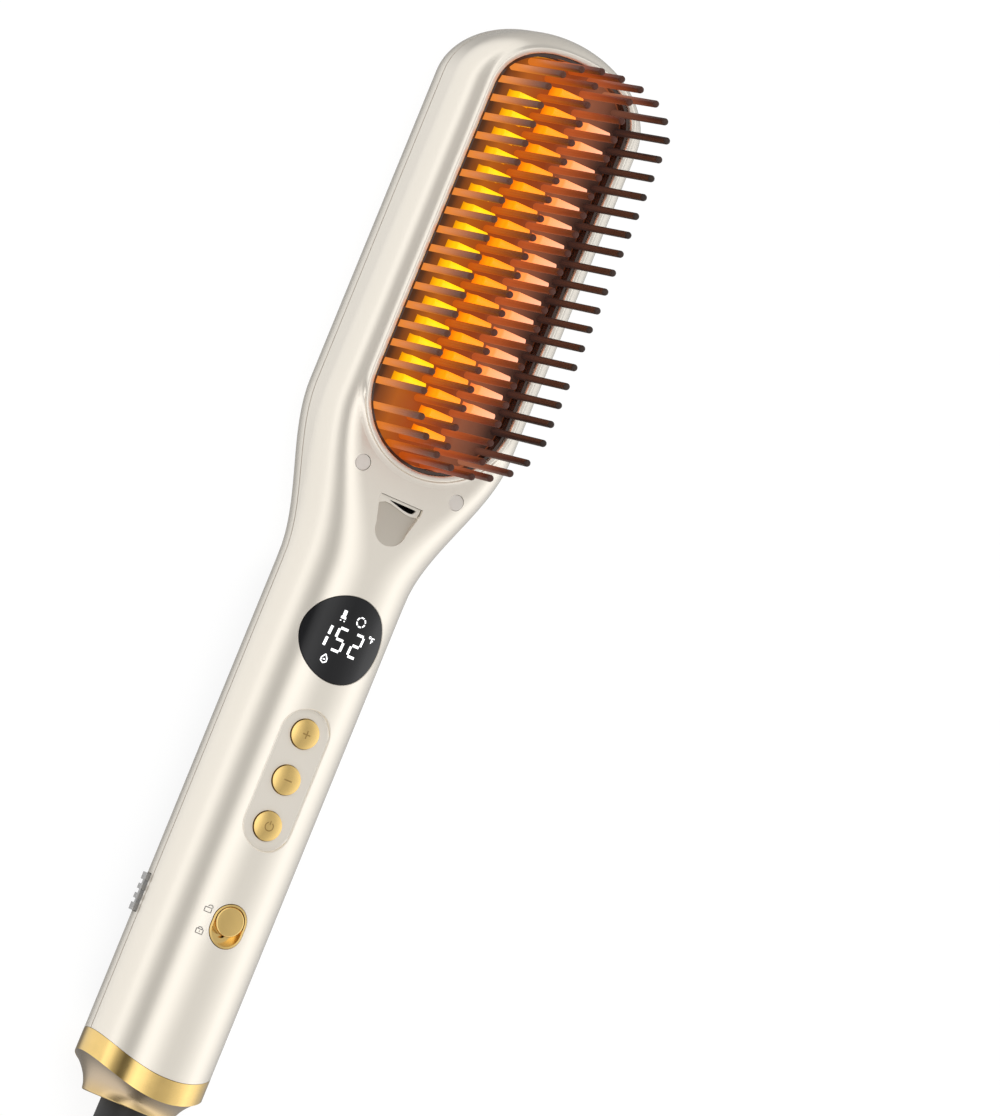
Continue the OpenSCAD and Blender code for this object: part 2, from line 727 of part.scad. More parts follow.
module filler_plug() {
  color("Gold") placed() difference() {
    union() {
      intersection() {
        oval_button(plug_w, plug_len, plug_y, -2 * handle_r, -10);
        along_y(handle_r + 0.2, 0, 60);
      }
    }
    difference() {
      along_y(handle_r - 0.8, 0, 60);
      oval_button(plug_w - 2.4, plug_len - 1.4, plug_y, -handle_r, -handle_r + 3.6);
    }
    difference() {
      box(-plug_w, plug_w, plug_y - 0.2, plug_y + 0.2, -2 * handle_r, 0);
      along_y(handle_r - 0.1, 0, 60);
    }
  }
}

module tray_screws() {
  color("Silver") placed() {
    difference() {
      union() {
        upright(2.55, -tray_z, -tray_z + 0.8, 0, pump_y + 15);
        upright(1.3, -tray_z, -3, 0, pump_y + 15);
      }
      translate([0, pump_y + 15, -tray_z]) {
        cube([3, 0.6, 1], center = true);
        cube([0.6, 3, 1], center = true);
      }
    }
    both(main_posts[0][0]) {
      upright(1.8, -tray_z, -tray_z + 0.7, 0, main_posts[0][1]);
      upright(1, -tray_z, floor_z + 3.4, 0, main_posts[0][1]);
    }
  }
}

// ---- Controls ----

module display_lens() {
  color("Black") placed() intersection() {
    upright(display_d / 2, lens_z, 2 * handle_r, 0, display_y);
    along_y(handle_r, 0, body_len);
  }
}

module display_module() {
  color("DarkSlateGray") placed() union() {
    box(-9, 9, display_y - 8, display_y + 8, board_z + e, lens_z - 0.2);
    box(-7, 7, display_y - 10, display_y - 7, board_z + e, board_z + 1);
  }
}

module control_board() {
  color("DarkGreen") placed() difference() {
    box(-11.5, 11.5, board_y0, board_y1, board_z0, board_z - e);
    for (p = board_posts) both(p[0]) upright(1, 0, handle_r, 0, p[1]);
  }
}

module board_screws() {
  color("Silver") placed() for (p = board_posts) both(p[0]) {
    upright(1.7, board_z0 - 1.2, board_z0, 0, p[1]);
    upright(0.8, board_z0 - 1, board_z + 3.2, 0, p[1]);
  }
}

module key_switches() {
  color("DimGray") placed() for (i = [0:2]) translate([0, button_y + i * button_pitch, 0]) {
    box(-3, 3, -3, 3, board_z, key_top - 0.8);
    upright(1.6, key_top - 1, key_top);
  }
}

module button_plate() {
  color("Tan") placed() difference() {
    stadium(pocket_w - 2 * e, 2 * button_pitch + pocket_w - 0.8, button_y + button_pitch,
      pocket_z, pocket_z + plate_up);
    for (i = [0:2]) upright(button_d / 2 + run, 0, 30, 0, button_y + i * button_pitch);
  }
}

// A domed button with the collar that keeps it in
module button(i) {
  rise = 0.8;
  r = (pow(button_d / 2, 2) + rise * rise) / (2 * rise);
  color("Gold") placed() translate([0, button_y + i * button_pitch, 0]) {
    intersection() {
      upright(button_d / 2, button_z0, handle_r - 0.2);
      translate([0, 0, handle_r - 0.2 - r]) sphere(r = r, $fn = 96);
    }
    upright(button_d / 2 + 0.9, button_z0 + 0.4, pocket_z - 0.1);
  }
}

module button_power() { button(0); }
module button_less() { button(1); }
module button_more() { button(2); }

knob_y = switch_y + knob_travel / 2;
stem_w = 2.4;
stem_len = 2.8;

module switch_well() {
  color("Gold") placed() difference() {
    intersection() {
      stadium(well_w, well_len, switch_y, well_z, 2 * handle_r);
      along_y(handle_r + 0.1, 0, body_len);
    }
    stadium(well_w - 1, well_len - 1, switch_y, well_z + 1.2, 2 * handle_r);
    stadium(stem_w + 0.6, knob_travel + stem_len + 1.8, switch_y, 0, 2 * handle_r);
  }
}

module switch_knob() {
  color("Gold") placed() union() {
    upright(knob_d / 2, well_z + 1.2 + run, handle_r - 0.5, 0, knob_y);
    upright(knob_d / 2 - 0.5, handle_r - 0.6, handle_r - 0.1, 0, knob_y);
    box(-stem_w / 2, stem_w / 2, knob_y - stem_len / 2, knob_y + stem_len / 2, board_z + 1.6, well_z + 1.6);
  }
}

module slide_switch() {
  h = well_z - 0.9 - board_z;
  color("DimGray") placed() difference() {
    box(-4, 4, switch_y - 6, switch_y + 6, board_z, board_z + h - 0.3);
    box(-stem_w / 2 - 0.3, stem_w / 2 + 0.3, switch_y - (stem_len + knob_travel) / 2 - 0.6,
      switch_y + (stem_len + knob_travel) / 2 + 0.6,
      board_z + 1.2, board_z + 10);
  }
}

// ---- Inside the handle ----

module main_board() {
  z = floor_z + 1.2 + e;
  color("DarkGreen") placed() difference() {
    box(-11.2, 11.2, main_y[0], main_y[1], z, z + 1.6);
    for (p = main_posts) both(p[0]) upright(1.1, -20, 0, 0, p[1]);
  }
}

module power_parts() {
  z = floor_z + 2.8 + e;
  function along(t) = mix(main_y[0], main_y[1], t);
  color("Goldenrod") placed() {
    box(-7, 7, along(0.22), along(0.36), z, z + 7.6);
    box(-9, 2.5, along(0.42), along(0.61), z, z + 6.5);
    upright(3.2, z, z + 8, 7, along(0.49));
    box(-9.5, -2, along(0.66), along(0.82), z, z + 5);
    upright(4, z, z + 7, 5.5, along(0.73));
    box(-4, 4, along(0.03), along(0.12), z, z + 7);
  }
}

module grip(s) {
  y0 = switch_y - grip_len / 2;
  y1 = switch_y + grip_len / 2;
  color("DimGray") placed() scale([s, 1, 1]) {
    difference() {
      intersection() {
        box(handle_r - 3.4, 2 * handle_r, y0, y1, -6, -1.5);
        along_y(handle_r + grip_h, 0, 100);
      }
      for (i = [1:3]) let (y = mix(y0, y1, i / 4))
        box(handle_r - 0.4, 2 * handle_r, y - 0.6, y + 0.6, -10, 0);
    }
    box(handle_r - 4.1, handle_r - 2.9, y0 - 1.3, y1 + 1.3, -4.8, -0.5);
  }
}

module grip_left() { grip(-1); }
module grip_right() { grip(1); }

// ---- Ring, cap and strain relief ----

module trim_ring() {
  color("Gold") placed() difference() {
    intersection() {
      difference() {
        along_y(handle_r + 0.15, 1, ring_y + 1);
        along_y(handle_r - wall, 0, ring_y + 2);
      }
      saddle(ring_y - e);
    }
    saddle(ring_y - ring_w);
  }
}

module sleeve() {
  color("Gray") placed() difference() {
    along_y(handle_r - wall - e, ring_y - 7, tank_y - 2);
    along_y(handle_r - wall - 2, 0, 30);
  }
}

// Flared end, concave in profile and cut to the ring's saddle
module cap_loft() {
  n = 40;
  k = [0, 0.2, 0.4, 0.6, 0.8, 1];
  c = ring_y - ring_w - saddle_r;
  function rim(a) = c + sqrt(pow(saddle_r, 2) - pow(handle_r * sin(a), 2));
  rings = concat([for (t = k) [for (i = [0:n - 1]) let (a = 360 * i / n,
      r = cap_r + (handle_r - cap_r) * pow(t, 1.8)) [r * cos(a), t * rim(a), r * sin(a)]]],
    [[for (i = [0:n - 1]) let (a = 360 * i / n)
      [handle_r * cos(a), ring_y - 2, handle_r * sin(a)]]]);
  m = len(rings);
  polyhedron([for (q = rings) each q], concat([[for (i = [n - 1:-1:0]) i]],
    [for (j = [0:m - 2], i = [0:n - 1]) let (p = j * n + i, q = j * n + (i + 1) % n)
      each [[p, q, p + n], [q, q + n, p + n]]],
    [[for (i = [0:n - 1]) (m - 1) * n + i]]));
}

module end_cap() {
  color("BurlyWood") placed() difference() {
    union() {
      difference() {
        intersection() {
          cap_loft();
          saddle(ring_y - ring_w - e);
        }
        along_y(handle_r - wall, ring_y - 7.4, ring_y + 9);
      }
      along_y(handle_r - wall - 2 - e, 4, tank_y - 6);
    }
    along_y(10.2, 2.2, 30);
    along_y(relief_r + run, -1, 3);
    box(-6, -2, 3.4, 4.9, -handle_r - 1, -handle_r + 1.6);
  }
}

module swivel_retainer() {
  color("Gray") placed() difference() {
    along_y(10.1, 6.6, 8.4);
    along_y(5, 0, 20);
  }
}

module strain_relief() {
  rib = (relief_len - 6) / 12;
  color("Black") placed() translate([0, 6.2, 0]) rotate([90, 0, 0]) rotate_extrude() polygon(concat(
    [[0, 0], [8.6, 0], [8.6, 3.7], [relief_r - 0.1, 3.7], [relief_r, 12]],
    [for (i = [0:8]) let (y0 = 12 + rib * (i + 0.7), y1 = 12 + rib * (i + 1))
      each [[groove_r(i, 0), y0], [groove_r(i, 0.6), y0], [groove_r(i, 0.6), y1], [groove_r(i, 0), y1]]],
    [[4, relief_len + 6.2], [0, relief_len + 6.2]]));
  function groove_r(i, d) = mix(relief_r, 4, (i + 1) / 11) - d;
}

// ---- Cord, put away as a tied hank ----

// Tube of n sides swept through a route
module tube(route, r, n) {
  m = len(route);
  function unit(v) = v / norm(v);
  function way(i) = unit(route[min(i + 1, m - 1)] - route[max(i - 1, 0)]);
  function square(i) = i == 0 || i == m - 1 ? [0, -1, 0] : way(i);
  rings = [for (i = [0:m - 1]) let (t = square(i), side = unit(cross(t, [0, 0, 1])),
    up = cross(side, t)) [for (j = [0:n - 1]) let (a = 360 * (j + 0.5) / n)
      route[i] + r * cos(a) * side + r * sin(a) * up]];
  polyhedron([for (q = rings) each q], concat([[for (j = [0:n - 1]) j]],
    [for (i = [0:m - 2], j = [0:n - 1]) let (p = i * n + j, q = i * n + (j + 1) % n)
      each [[p, p + n, q], [q, p + n, q + n]]],
    [[for (j = [n - 1:-1:0]) (m - 1) * n + j]]));
}

module cord_tube() {
  color("Black") tube(cord_route, cord_r, 10);
}

// Point of the hank after u turns: each half turn is a run and then a fold
half_run = 5 / 24;
function spiral(u) = u < 0 ? 1.5 - u : u >= hank_turns ? u - 4.5 : abs(u % 3 - 1.5);
function layer(u) = hank_layer * (smooth((u - 1.5) / 0.2083 + 0.5) + smooth((u - 3) / 0.2083 + 0.5)
  + smooth((u - 4.5) / 0.2083 + 0.5));
function hank_point(u) = let (h = floor(2 * u + half_run), p = 2 * u - h, s = h % 2 == 0 ? 1 : -1,
    r = hank_fold + hank_step * spiral(u), z = hank_top - layer(u),
    f = 180 * (p - half_run) / (1 - 2 * half_run), y = -s * hank_run / 2 * p / half_run)
  p <= half_run
    ? [s * (r - hank_waist * (1 + cos(360 * y / hank_run)) / 2), hank_y + y, z]
    : [s * r * cos(f), hank_y - s * (hank_run / 2 + r * sin(f)), z];
function hank_path(n) = [for (i = [0:round((hank_turns + half_run) * n)])
  hank_point(i / n - half_run / 2)];

module cord_hank() {
  far = hank_y - hank_run / 2;
  fine = hank_path(96);
  gaps = [for (i = [0:3:len(fine) - 1]) each
    [for (j = [i + 24:len(fine) - 1]) norm(fine[i] - fine[j]) - cord_d]];
  echo(hank_self_gap = min(gaps));
  echo(hank_length = let (q = hank_path(24)) lead + lead_out
    + [for (i = [1:len(q) - 1]) 1] * [for (i = [1:len(q) - 1]) norm(q[i] - q[i - 1])]);
  color("Black") tube(concat([[hank_x, hank_y + hank_run / 2 + lead, hank_top],
      [hank_x, hank_y + hank_run / 2 + lead / 2, hank_top]], hank_path(24),
    [for (q = way_out) [mix(hank_x, plug_x, q[1]), far - q[0], mix(hank_z, plug_z, q[1])]]), cord_r, 6);
}

module cord_tie() {
  x0 = -(hank_fold + 1.104 * hank_step - hank_waist) - cord_r - run;
  x1 = hank_x - hank_waist + cord_r + run;
  module ring(d) {
    r = cord_r + d;
    for (x = [x0 + cord_r, x1 - cord_r], z = [hank_z, hank_top]) translate([x, z]) circle(r = r);
    translate([x0 + cord_r, hank_z - r]) square([x1 - x0 - cord_d, hank_top - hank_z + 2 * r]);
    translate([x0 - d, hank_z]) square([x1 - x0 + 2 * d, hank_top - hank_z]);
  }
  color("DarkSlateGray") translate([0, hank_y + 4, 0]) rotate([90, 0, 0]) linear_extrude(8)
    difference() {
      ring(1.2);
      ring(run);
    }
}

plug_y1 = hank_y - hank_run / 2 - lead_out;

module plug_body() {
  color("Black") translate([plug_x, plug_y1, plug_z]) union() {
    translate([0, 0, 0]) rotate([90, 0, 0]) cylinder(r1 = 4.4, r2 = 6, h = 12);
    translate([-13, -31, -7.2]) cube([26, 20, 14.4]);
    translate([-11, -32.2, -6]) cube([22, 2, 12]);
  }
}

module plug_blades() {
  color("Silver") translate([plug_x, plug_y1 - 32.3, plug_z]) both(6.35)
    translate([-0.76, -17, -3.17]) cube([1.52, 17, 6.35]);
}

front_shell();
rear_shell();
rear_panel();
plate_frame();
heating_plate();
bristle_field();
heater_bars();
heat_sensor();
heat_shield();
screw_covers();
case_screws();
steam_nozzle();
steam_pipe();
steam_generator();
pressure_hose();
pump();
suction_hose();
tank_port();
display_lens();
display_module();
control_board();
board_screws();
key_switches();
button_plate();
button_more();
button_less();
button_power();
switch_well();
switch_knob();
slide_switch();
main_board();
power_parts();
tray_screws();
tank_shell();
tank_lid();
tank_seal();
filler_plug();
grip_left();
grip_right();
trim_ring();
sleeve();
end_cap();
swivel_retainer();
strain_relief();
cord_tube();
cord_hank();
cord_tie();
plug_body();
plug_blades();
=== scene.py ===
import math

import bmesh
import bpy
from mathutils import Matrix, Vector


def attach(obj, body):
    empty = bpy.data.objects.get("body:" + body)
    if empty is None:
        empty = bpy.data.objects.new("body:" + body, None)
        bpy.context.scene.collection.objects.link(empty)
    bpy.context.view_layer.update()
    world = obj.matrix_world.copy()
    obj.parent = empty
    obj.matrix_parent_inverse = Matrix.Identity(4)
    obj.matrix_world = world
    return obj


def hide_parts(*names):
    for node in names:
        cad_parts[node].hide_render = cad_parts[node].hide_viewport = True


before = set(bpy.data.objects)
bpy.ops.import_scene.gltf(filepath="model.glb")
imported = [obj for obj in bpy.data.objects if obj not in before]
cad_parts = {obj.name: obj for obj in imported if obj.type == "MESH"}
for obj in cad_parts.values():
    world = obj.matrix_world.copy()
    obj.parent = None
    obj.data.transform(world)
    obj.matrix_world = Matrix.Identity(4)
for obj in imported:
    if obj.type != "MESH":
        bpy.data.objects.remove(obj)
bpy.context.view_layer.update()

MM = 0.001
BODY_LEN = 300.0      # end cap to head tip
AXIS_Z = 17.8         # height of the handle's axis over the table
HANDLE_R = 17.6
HALF_LEN = BODY_LEN / 2


def at(x, s, z):
    """A point of the brush, x across, s from the cap's end, z over the parting plane, in the row frame."""
    return Vector((x * MM, (s - HALF_LEN) * MM, (z + AXIS_Z) * MM))


# ---------------------------------------------------------------- camera
LEAN = math.radians(22.2)      # the brush leans this far clockwise in the picture
YAW = math.radians(24.5)       # and is seen this far from its left side
PITCH = math.asin(0.0551)      # and a little from below
MM_PER_PX = 0.2593
PICTURE = (1000, 1116)
CAP_AT = (125.6, 1106.5)       # where the cap's end lies in the picture
DISTANCE = 2600.0


def make_camera():
    side = Vector((math.cos(YAW), 0, math.sin(YAW)))
    face = Vector((-math.sin(YAW), 0, math.cos(YAW)))
    along = Vector((0, 1, 0))
    back = math.cos(PITCH) * face - math.sin(PITCH) * along
    up0 = math.cos(PITCH) * along + math.sin(PITCH) * face
    right = math.cos(LEAN) * side + math.sin(LEAN) * up0
    up = -math.sin(LEAN) * side + math.cos(LEAN) * up0
    target = (at(0, 0, 0) + right * (PICTURE[0] / 2 - CAP_AT[0]) * MM_PER_PX * MM
              + up * (CAP_AT[1] - PICTURE[1] / 2) * MM_PER_PX * MM)
    data = bpy.data.cameras.new("camera")
    data.sensor_fit = "VERTICAL"
    data.sensor_height = 24
    data.lens = 24 * DISTANCE / (PICTURE[1] * MM_PER_PX)
    data.clip_end = 20
    cam = bpy.data.objects.new("camera", data)
    bpy.context.scene.collection.objects.link(cam)
    turn = Matrix((right, up, back)).transposed().to_4x4()
    cam.matrix_world = Matrix.Translation(target + back * DISTANCE * MM) @ turn
    bpy.context.scene.camera = cam


make_camera()

# ---------------------------------------------------------------- cord
CORD_D = 6.0
CORD_Y = -192.0
HANK_TURNS, HANK_FOLD, HANK_STEP, HANK_LAYER, HANK_RUN, HANK_WAIST = 6, 18.0, 7.2, 6.6, 56.0, 8.0
HANK_Z = 4.4
HANK_X = HANK_FOLD + 1.604 * HANK_STEP
HANK_TOP = HANK_Z + 3 * HANK_LAYER
HANK_Y = CORD_Y - 132
LEAD, PLUG_Z = 12.0, 7.6
PLUG_X = HANK_X - 12.2
WAY_OUT = [(10, 0), (20, 0), (30, 0.125), (40, 0.5), (50, 0.875), (60, 1), (66, 1)]
HALF_RUN = 5 / 24
ROUTE = [(0, CORD_Y, AXIS_Z), (0, CORD_Y - 12, AXIS_Z), (1.4, CORD_Y - 24, 18.2), (6.4, CORD_Y - 36, 19.2),
         (14.4, CORD_Y - 47.5, 20.9), (22.4, CORD_Y - 59, 22.6), (27.4, CORD_Y - 71, 23.8),
         (HANK_X, CORD_Y - 83, HANK_TOP)]


def smooth(t):
    t = min(1.0, max(0.0, t))
    return t * t * (3 - 2 * t)


def hank_point(u):
    h = math.floor(2 * u + HALF_RUN)
    p = 2 * u - h
    s = 1 if h % 2 == 0 else -1
    k = 1.5 - u if u < 0 else u - 4.5 if u >= HANK_TURNS else abs(u % 3 - 1.5)
    r = HANK_FOLD + HANK_STEP * k
    z = HANK_TOP - HANK_LAYER * sum(smooth((u - c) / 0.2083 + 0.5) for c in (1.5, 3, 4.5))
    if p <= HALF_RUN:
        y = -s * HANK_RUN / 2 * p / HALF_RUN
        return (s * (r - HANK_WAIST * (1 + math.cos(2 * math.pi * y / HANK_RUN)) / 2), HANK_Y + y, z)
    f = math.pi * (p - HALF_RUN) / (1 - 2 * HALF_RUN)
    return (s * r * math.cos(f), HANK_Y - s * (HANK_RUN / 2 + r * math.sin(f)), z)


def cord_points():
    fine = 48
    loops = [hank_point(i / fine - HALF_RUN / 2) for i in range(round((HANK_TURNS + HALF_RUN) * fine) + 1)]
    near, far = HANK_Y + HANK_RUN / 2, HANK_Y - HANK_RUN / 2
    lead_in = [(HANK_X, near + LEAD, HANK_TOP), (HANK_X, near + LEAD / 2, HANK_TOP)]
    lead_out = [(HANK_X + (PLUG_X - HANK_X) * share, far - a, HANK_Z + (PLUG_Z - HANK_Z) * share)
                for a, share in WAY_OUT]
    return ROUTE + lead_in + loops + lead_out


def make_cord():
    points = cord_points()
    curve = bpy.data.curves.new("mains_cord", "CURVE")
    curve.dimensions = "3D"
    curve.bevel_depth = CORD_D / 2 * MM
    curve.bevel_resolution = 5
    curve.use_fill_caps = True
    line = curve.splines.new("POLY")
    line.points.add(len(points) - 1)
    for p, q in zip(line.points, points):
        p.co = (q[0] * MM, q[1] * MM, q[2] * MM, 1)
    line.use_smooth = True
    piece = bpy.data.objects.new("mains_cord", curve)
    bpy.context.scene.collection.objects.link(piece)
    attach(piece, "housing")
    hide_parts("cord_tube", "cord_hank")
    return piece


cord = make_cord()


# ---------------------------------------------------------------- materials
GRAIN_DEPTH = 0.05
BOARD_TOP = 31.1      # the bristle board's top over the table


def links(mat):
    mat.use_nodes = True
    tree = mat.node_tree
    return tree, tree.nodes["Principled BSDF"]


def node(tree, kind, **values):
    n = tree.nodes.new(kind)
    for k, v in values.items():
        setattr(n, k, v)
    return n


def material(name, color, rough=0.4, metal=0.0, coat=0.0, coat_rough=0.1, alpha=1.0, grain=0.0, grain_size=0.4,
             vary=0.0, vary_size=20.0, rough_vary=0.0, emit=None, emit_strength=0.0, ior=None):
    """A plastic or metal with its grain as bump, cloudy colour and uneven roughness. Sizes are in millimetres."""
    mat = bpy.data.materials.new(name)
    tree, bsdf = links(mat)
    bsdf.inputs["Base Color"].default_value = (*color, 1)
    bsdf.inputs["Roughness"].default_value = rough
    bsdf.inputs["Metallic"].default_value = metal
    bsdf.inputs["Coat Weight"].default_value = coat
    bsdf.inputs["Coat Roughness"].default_value = coat_rough
    bsdf.inputs["Alpha"].default_value = alpha
    if ior:
        bsdf.inputs["IOR"].default_value = ior
    if emit:
        bsdf.inputs["Emission Color"].default_value = (*emit, 1)
        bsdf.inputs["Emission Strength"].default_value = emit_strength
    coords = node(tree, "ShaderNodeTexCoord")
    if grain:
        noise = node(tree, "ShaderNodeTexNoise")
        noise.inputs["Scale"].default_value = 1 / (grain_size * MM)
        noise.inputs["Detail"].default_value = 3
        bump = node(tree, "ShaderNodeBump")
        bump.inputs["Strength"].default_value = grain
        bump.inputs["Distance"].default_value = GRAIN_DEPTH * MM
        tree.links.new(coords.outputs["Object"], noise.inputs["Vector"])
        tree.links.new(noise.outputs["Fac"], bump.inputs["Height"])
        tree.links.new(bump.outputs["Normal"], bsdf.inputs["Normal"])
    if vary or rough_vary:
        cloud = node(tree, "ShaderNodeTexNoise")
        cloud.inputs["Scale"].default_value = 1 / (vary_size * MM)
        cloud.inputs["Detail"].default_value = 4
        tree.links.new(coords.outputs["Object"], cloud.inputs["Vector"])
        if vary:
            ramp = node(tree, "ShaderNodeValToRGB")
            ramp.color_ramp.elements[0].position = 0.3
            ramp.color_ramp.elements[1].position = 0.7
            ramp.color_ramp.elements[0].color = (*[c * (1 - vary) for c in color], 1)
            ramp.color_ramp.elements[1].color = (*[min(1, c * (1 + vary)) for c in color], 1)
            tree.links.new(cloud.outputs["Fac"], ramp.inputs["Fac"])
            tree.links.new(ramp.outputs["Color"], bsdf.inputs["Base Color"])
        if rough_vary:
            span = node(tree, "ShaderNodeMapRange")
            span.inputs["To Min"].default_value = max(0.02, rough - rough_vary)
            span.inputs["To Max"].default_value = rough + rough_vary
            tree.links.new(cloud.outputs["Fac"], span.inputs["Value"])
            tree.links.new(span.outputs["Result"], bsdf.inputs["Roughness"])
    return mat


PEARL = material("pearl_cream", (0.82, 0.765, 0.675), rough=0.27, metal=0.55, coat=0.35, coat_rough=0.12,
                 grain=0.04, grain_size=0.4)
PANEL = material("panel_satin", (0.72, 0.67, 0.59), rough=0.42, metal=0.45, coat=0.1, coat_rough=0.3,
                 grain=0.12, grain_size=0.2)
POCKET = material("pocket_pearl", (0.74, 0.69, 0.61), rough=0.38, metal=0.4, coat=0.2, coat_rough=0.2,
                  grain=0.05, grain_size=0.25)
GOLD = material("polished_gold", (0.86, 0.60, 0.22), rough=0.16, metal=1.0, coat=0.2, coat_rough=0.05,
                grain=0.04, grain_size=0.5, vary=0.04, vary_size=4, rough_vary=0.04)
CHAMPAGNE = material("champagne", (0.55, 0.44, 0.31), rough=0.26, metal=0.9, coat=0.2, grain=0.04,
                     grain_size=0.4)
FRAME_BROWN = material("frame_brown", (0.045, 0.018, 0.008), rough=0.16, coat=0.8, coat_rough=0.05,
                       vary=0.2, vary_size=3, rough_vary=0.04)
BLACK_GLASS = material("display_glass", (0.010, 0.010, 0.011), rough=0.12, ior=1.38,
                       vary=0.1, vary_size=8, rough_vary=0.02)
SMOKED = material("smoked_clear", (0.052, 0.050, 0.046), rough=0.10, coat=0.6, coat_rough=0.04, alpha=0.5)
# Light tank strokes are painted highlights on edges; dark ones are painted shadows.
TANK_HIGHLIGHT = material("tank_edge_highlight", (0.42, 0.41, 0.39), rough=0.3, coat=0.4, alpha=0.8, grain=0.05)
TANK_SHADE = material("tank_shade", (0.012, 0.012, 0.012), rough=0.3, alpha=0.8, grain=0.05)
SMOKED_IN = material("smoked_inner", (0.05, 0.05, 0.052), rough=0.2, alpha=0.42)
GRIP = material("grip_smoked", (0.36, 0.35, 0.335), rough=0.25, coat=0.4, alpha=0.55, grain=0.1, grain_size=0.3,
                vary=0.1)
COVER = material("cover_cream", (0.66, 0.62, 0.57), rough=0.45, metal=0.25, coat=0.1, grain=0.1, grain_size=0.2,
                 vary=0.02, vary_size=3)
# The scoop's pearl is darker than the housing's: painted shade in the hollow.
SHADED_SCOOP = material("scoop_shaded_pearl", (0.49, 0.45, 0.385), rough=0.4, metal=0.3, coat=0.15, grain=0.05, grain_size=0.3)
SEAM_LINE = material("seam_shadow", (0.20, 0.145, 0.10), rough=0.6, grain=0.1, vary=0.05, vary_size=5)
WHITE_LIT = material("display_lit", (0.9, 0.9, 0.92), rough=0.4, emit=(1, 1, 1), emit_strength=0.8, vary=0.02)
PRINT = material("print_grey", (0.16, 0.15, 0.14), rough=0.5, grain=0.1, vary=0.1, vary_size=2)
MARK_GOLD = material("mark_gold", (0.42, 0.27, 0.09), rough=0.3, metal=0.9, grain=0.1, vary=0.05, vary_size=1)
RUBBER = material("black_rubber", (0.016, 0.016, 0.017), rough=0.52, grain=0.25, grain_size=0.25, vary=0.2,
                  vary_size=6, rough_vary=0.08)
CORD_BLACK = material("cord_black", (0.014, 0.014, 0.015), rough=0.45, grain=0.3, grain_size=0.35, vary=0.2,
                      vary_size=12, rough_vary=0.06)
TIE = material("tie_black", (0.03, 0.03, 0.032), rough=0.6, grain=0.4, grain_size=0.5, vary=0.2, vary_size=5)
NICKEL = material("nickel", (0.72, 0.70, 0.66), rough=0.2, metal=1.0, grain=0.05, vary=0.03, vary_size=3,
                  rough_vary=0.05)
STEEL = material("steel", (0.56, 0.56, 0.57), rough=0.32, metal=1.0, grain=0.15, grain_size=0.3, vary=0.05)
BOARD = material("solder_mask", (0.02, 0.12, 0.05), rough=0.35, coat=0.3, grain=0.2, grain_size=0.6, vary=0.15,
                 vary_size=4)
PARTS = material("components", (0.32, 0.2, 0.06), rough=0.45, grain=0.2, vary=0.4, vary_size=9)
BLACK_PLASTIC = material("black_plastic", (0.02, 0.02, 0.02), rough=0.4, grain=0.2, grain_size=0.3, vary=0.15)
GREY_PLASTIC = material("grey_plastic", (0.25, 0.26, 0.28), rough=0.45, grain=0.2, grain_size=0.3, vary=0.08)
SILICONE = material("silicone", (0.75, 0.75, 0.73), rough=0.4, alpha=0.8, grain=0.1, vary=0.04)
CAST = material("cast_metal", (0.35, 0.35, 0.36), rough=0.5, metal=1.0, grain=0.6, grain_size=0.6, vary=0.1)
CERAMIC = material("ceramic", (0.8, 0.78, 0.73), rough=0.55, grain=0.3, grain_size=0.4, vary=0.04)


def fill_ramp(ramp, stops, low, high):
    """Sets a ramp's stops, each a place between low and high with its colour."""
    els = ramp.color_ramp.elements
    while len(els) > 1:
        els.remove(els[-1])
    for i, (place, color) in enumerate(stops):
        share = (place - low) / (high - low)
        stop = els[0] if i == 0 else els.new(share)
        stop.position = share
        stop.color = (*color, 1)


def ramp_along(tree, coords, stops, axis, low, high):
    """Colour stops laid along one axis of the object, in millimetres."""
    split = node(tree, "ShaderNodeSeparateXYZ")
    span = node(tree, "ShaderNodeMapRange")
    span.inputs["From Min"].default_value = low * MM
    span.inputs["From Max"].default_value = high * MM
    ramp = node(tree, "ShaderNodeValToRGB")
    fill_ramp(ramp, stops, low, high)
    tree.links.new(coords.outputs["Object"], split.inputs["Vector"])
    tree.links.new(split.outputs[axis], span.inputs["Value"])
    tree.links.new(span.outputs["Result"], ramp.inputs["Fac"])
    return ramp.outputs["Color"]


def lit_by_place(mat, across, upward, strength, board=None):
    """Painted glow, coloured across the head and weighted with the height; the board gets its own painted glow
    colours.
    """
    tree, bsdf = links(mat)
    coords = node(tree, "ShaderNodeTexCoord")
    one = ramp_along(tree, coords, across, "X", -21, 21)
    two = ramp_along(tree, coords, upward, "Z", 28, 65)
    both = node(tree, "ShaderNodeVectorMath", operation="MULTIPLY")
    tree.links.new(one, both.inputs[0])
    tree.links.new(two, both.inputs[1])
    out = both.outputs["Vector"]
    if board:
        split = node(tree, "ShaderNodeSeparateXYZ")
        over = node(tree, "ShaderNodeMath", operation="GREATER_THAN")
        over.inputs[1].default_value = BOARD_TOP * MM
        pick = node(tree, "ShaderNodeMix", data_type="RGBA")
        tree.links.new(coords.outputs["Object"], split.inputs["Vector"])
        tree.links.new(split.outputs["Z"], over.inputs[0])
        tree.links.new(over.outputs["Value"], pick.inputs["Factor"])
        tree.links.new(ramp_along(tree, coords, board, "X", -21, 21), pick.inputs["A"])
        tree.links.new(out, pick.inputs["B"])
        out = pick.outputs["Result"]
    tree.links.new(out, bsdf.inputs["Emission Color"])
    bsdf.inputs["Emission Strength"].default_value = strength
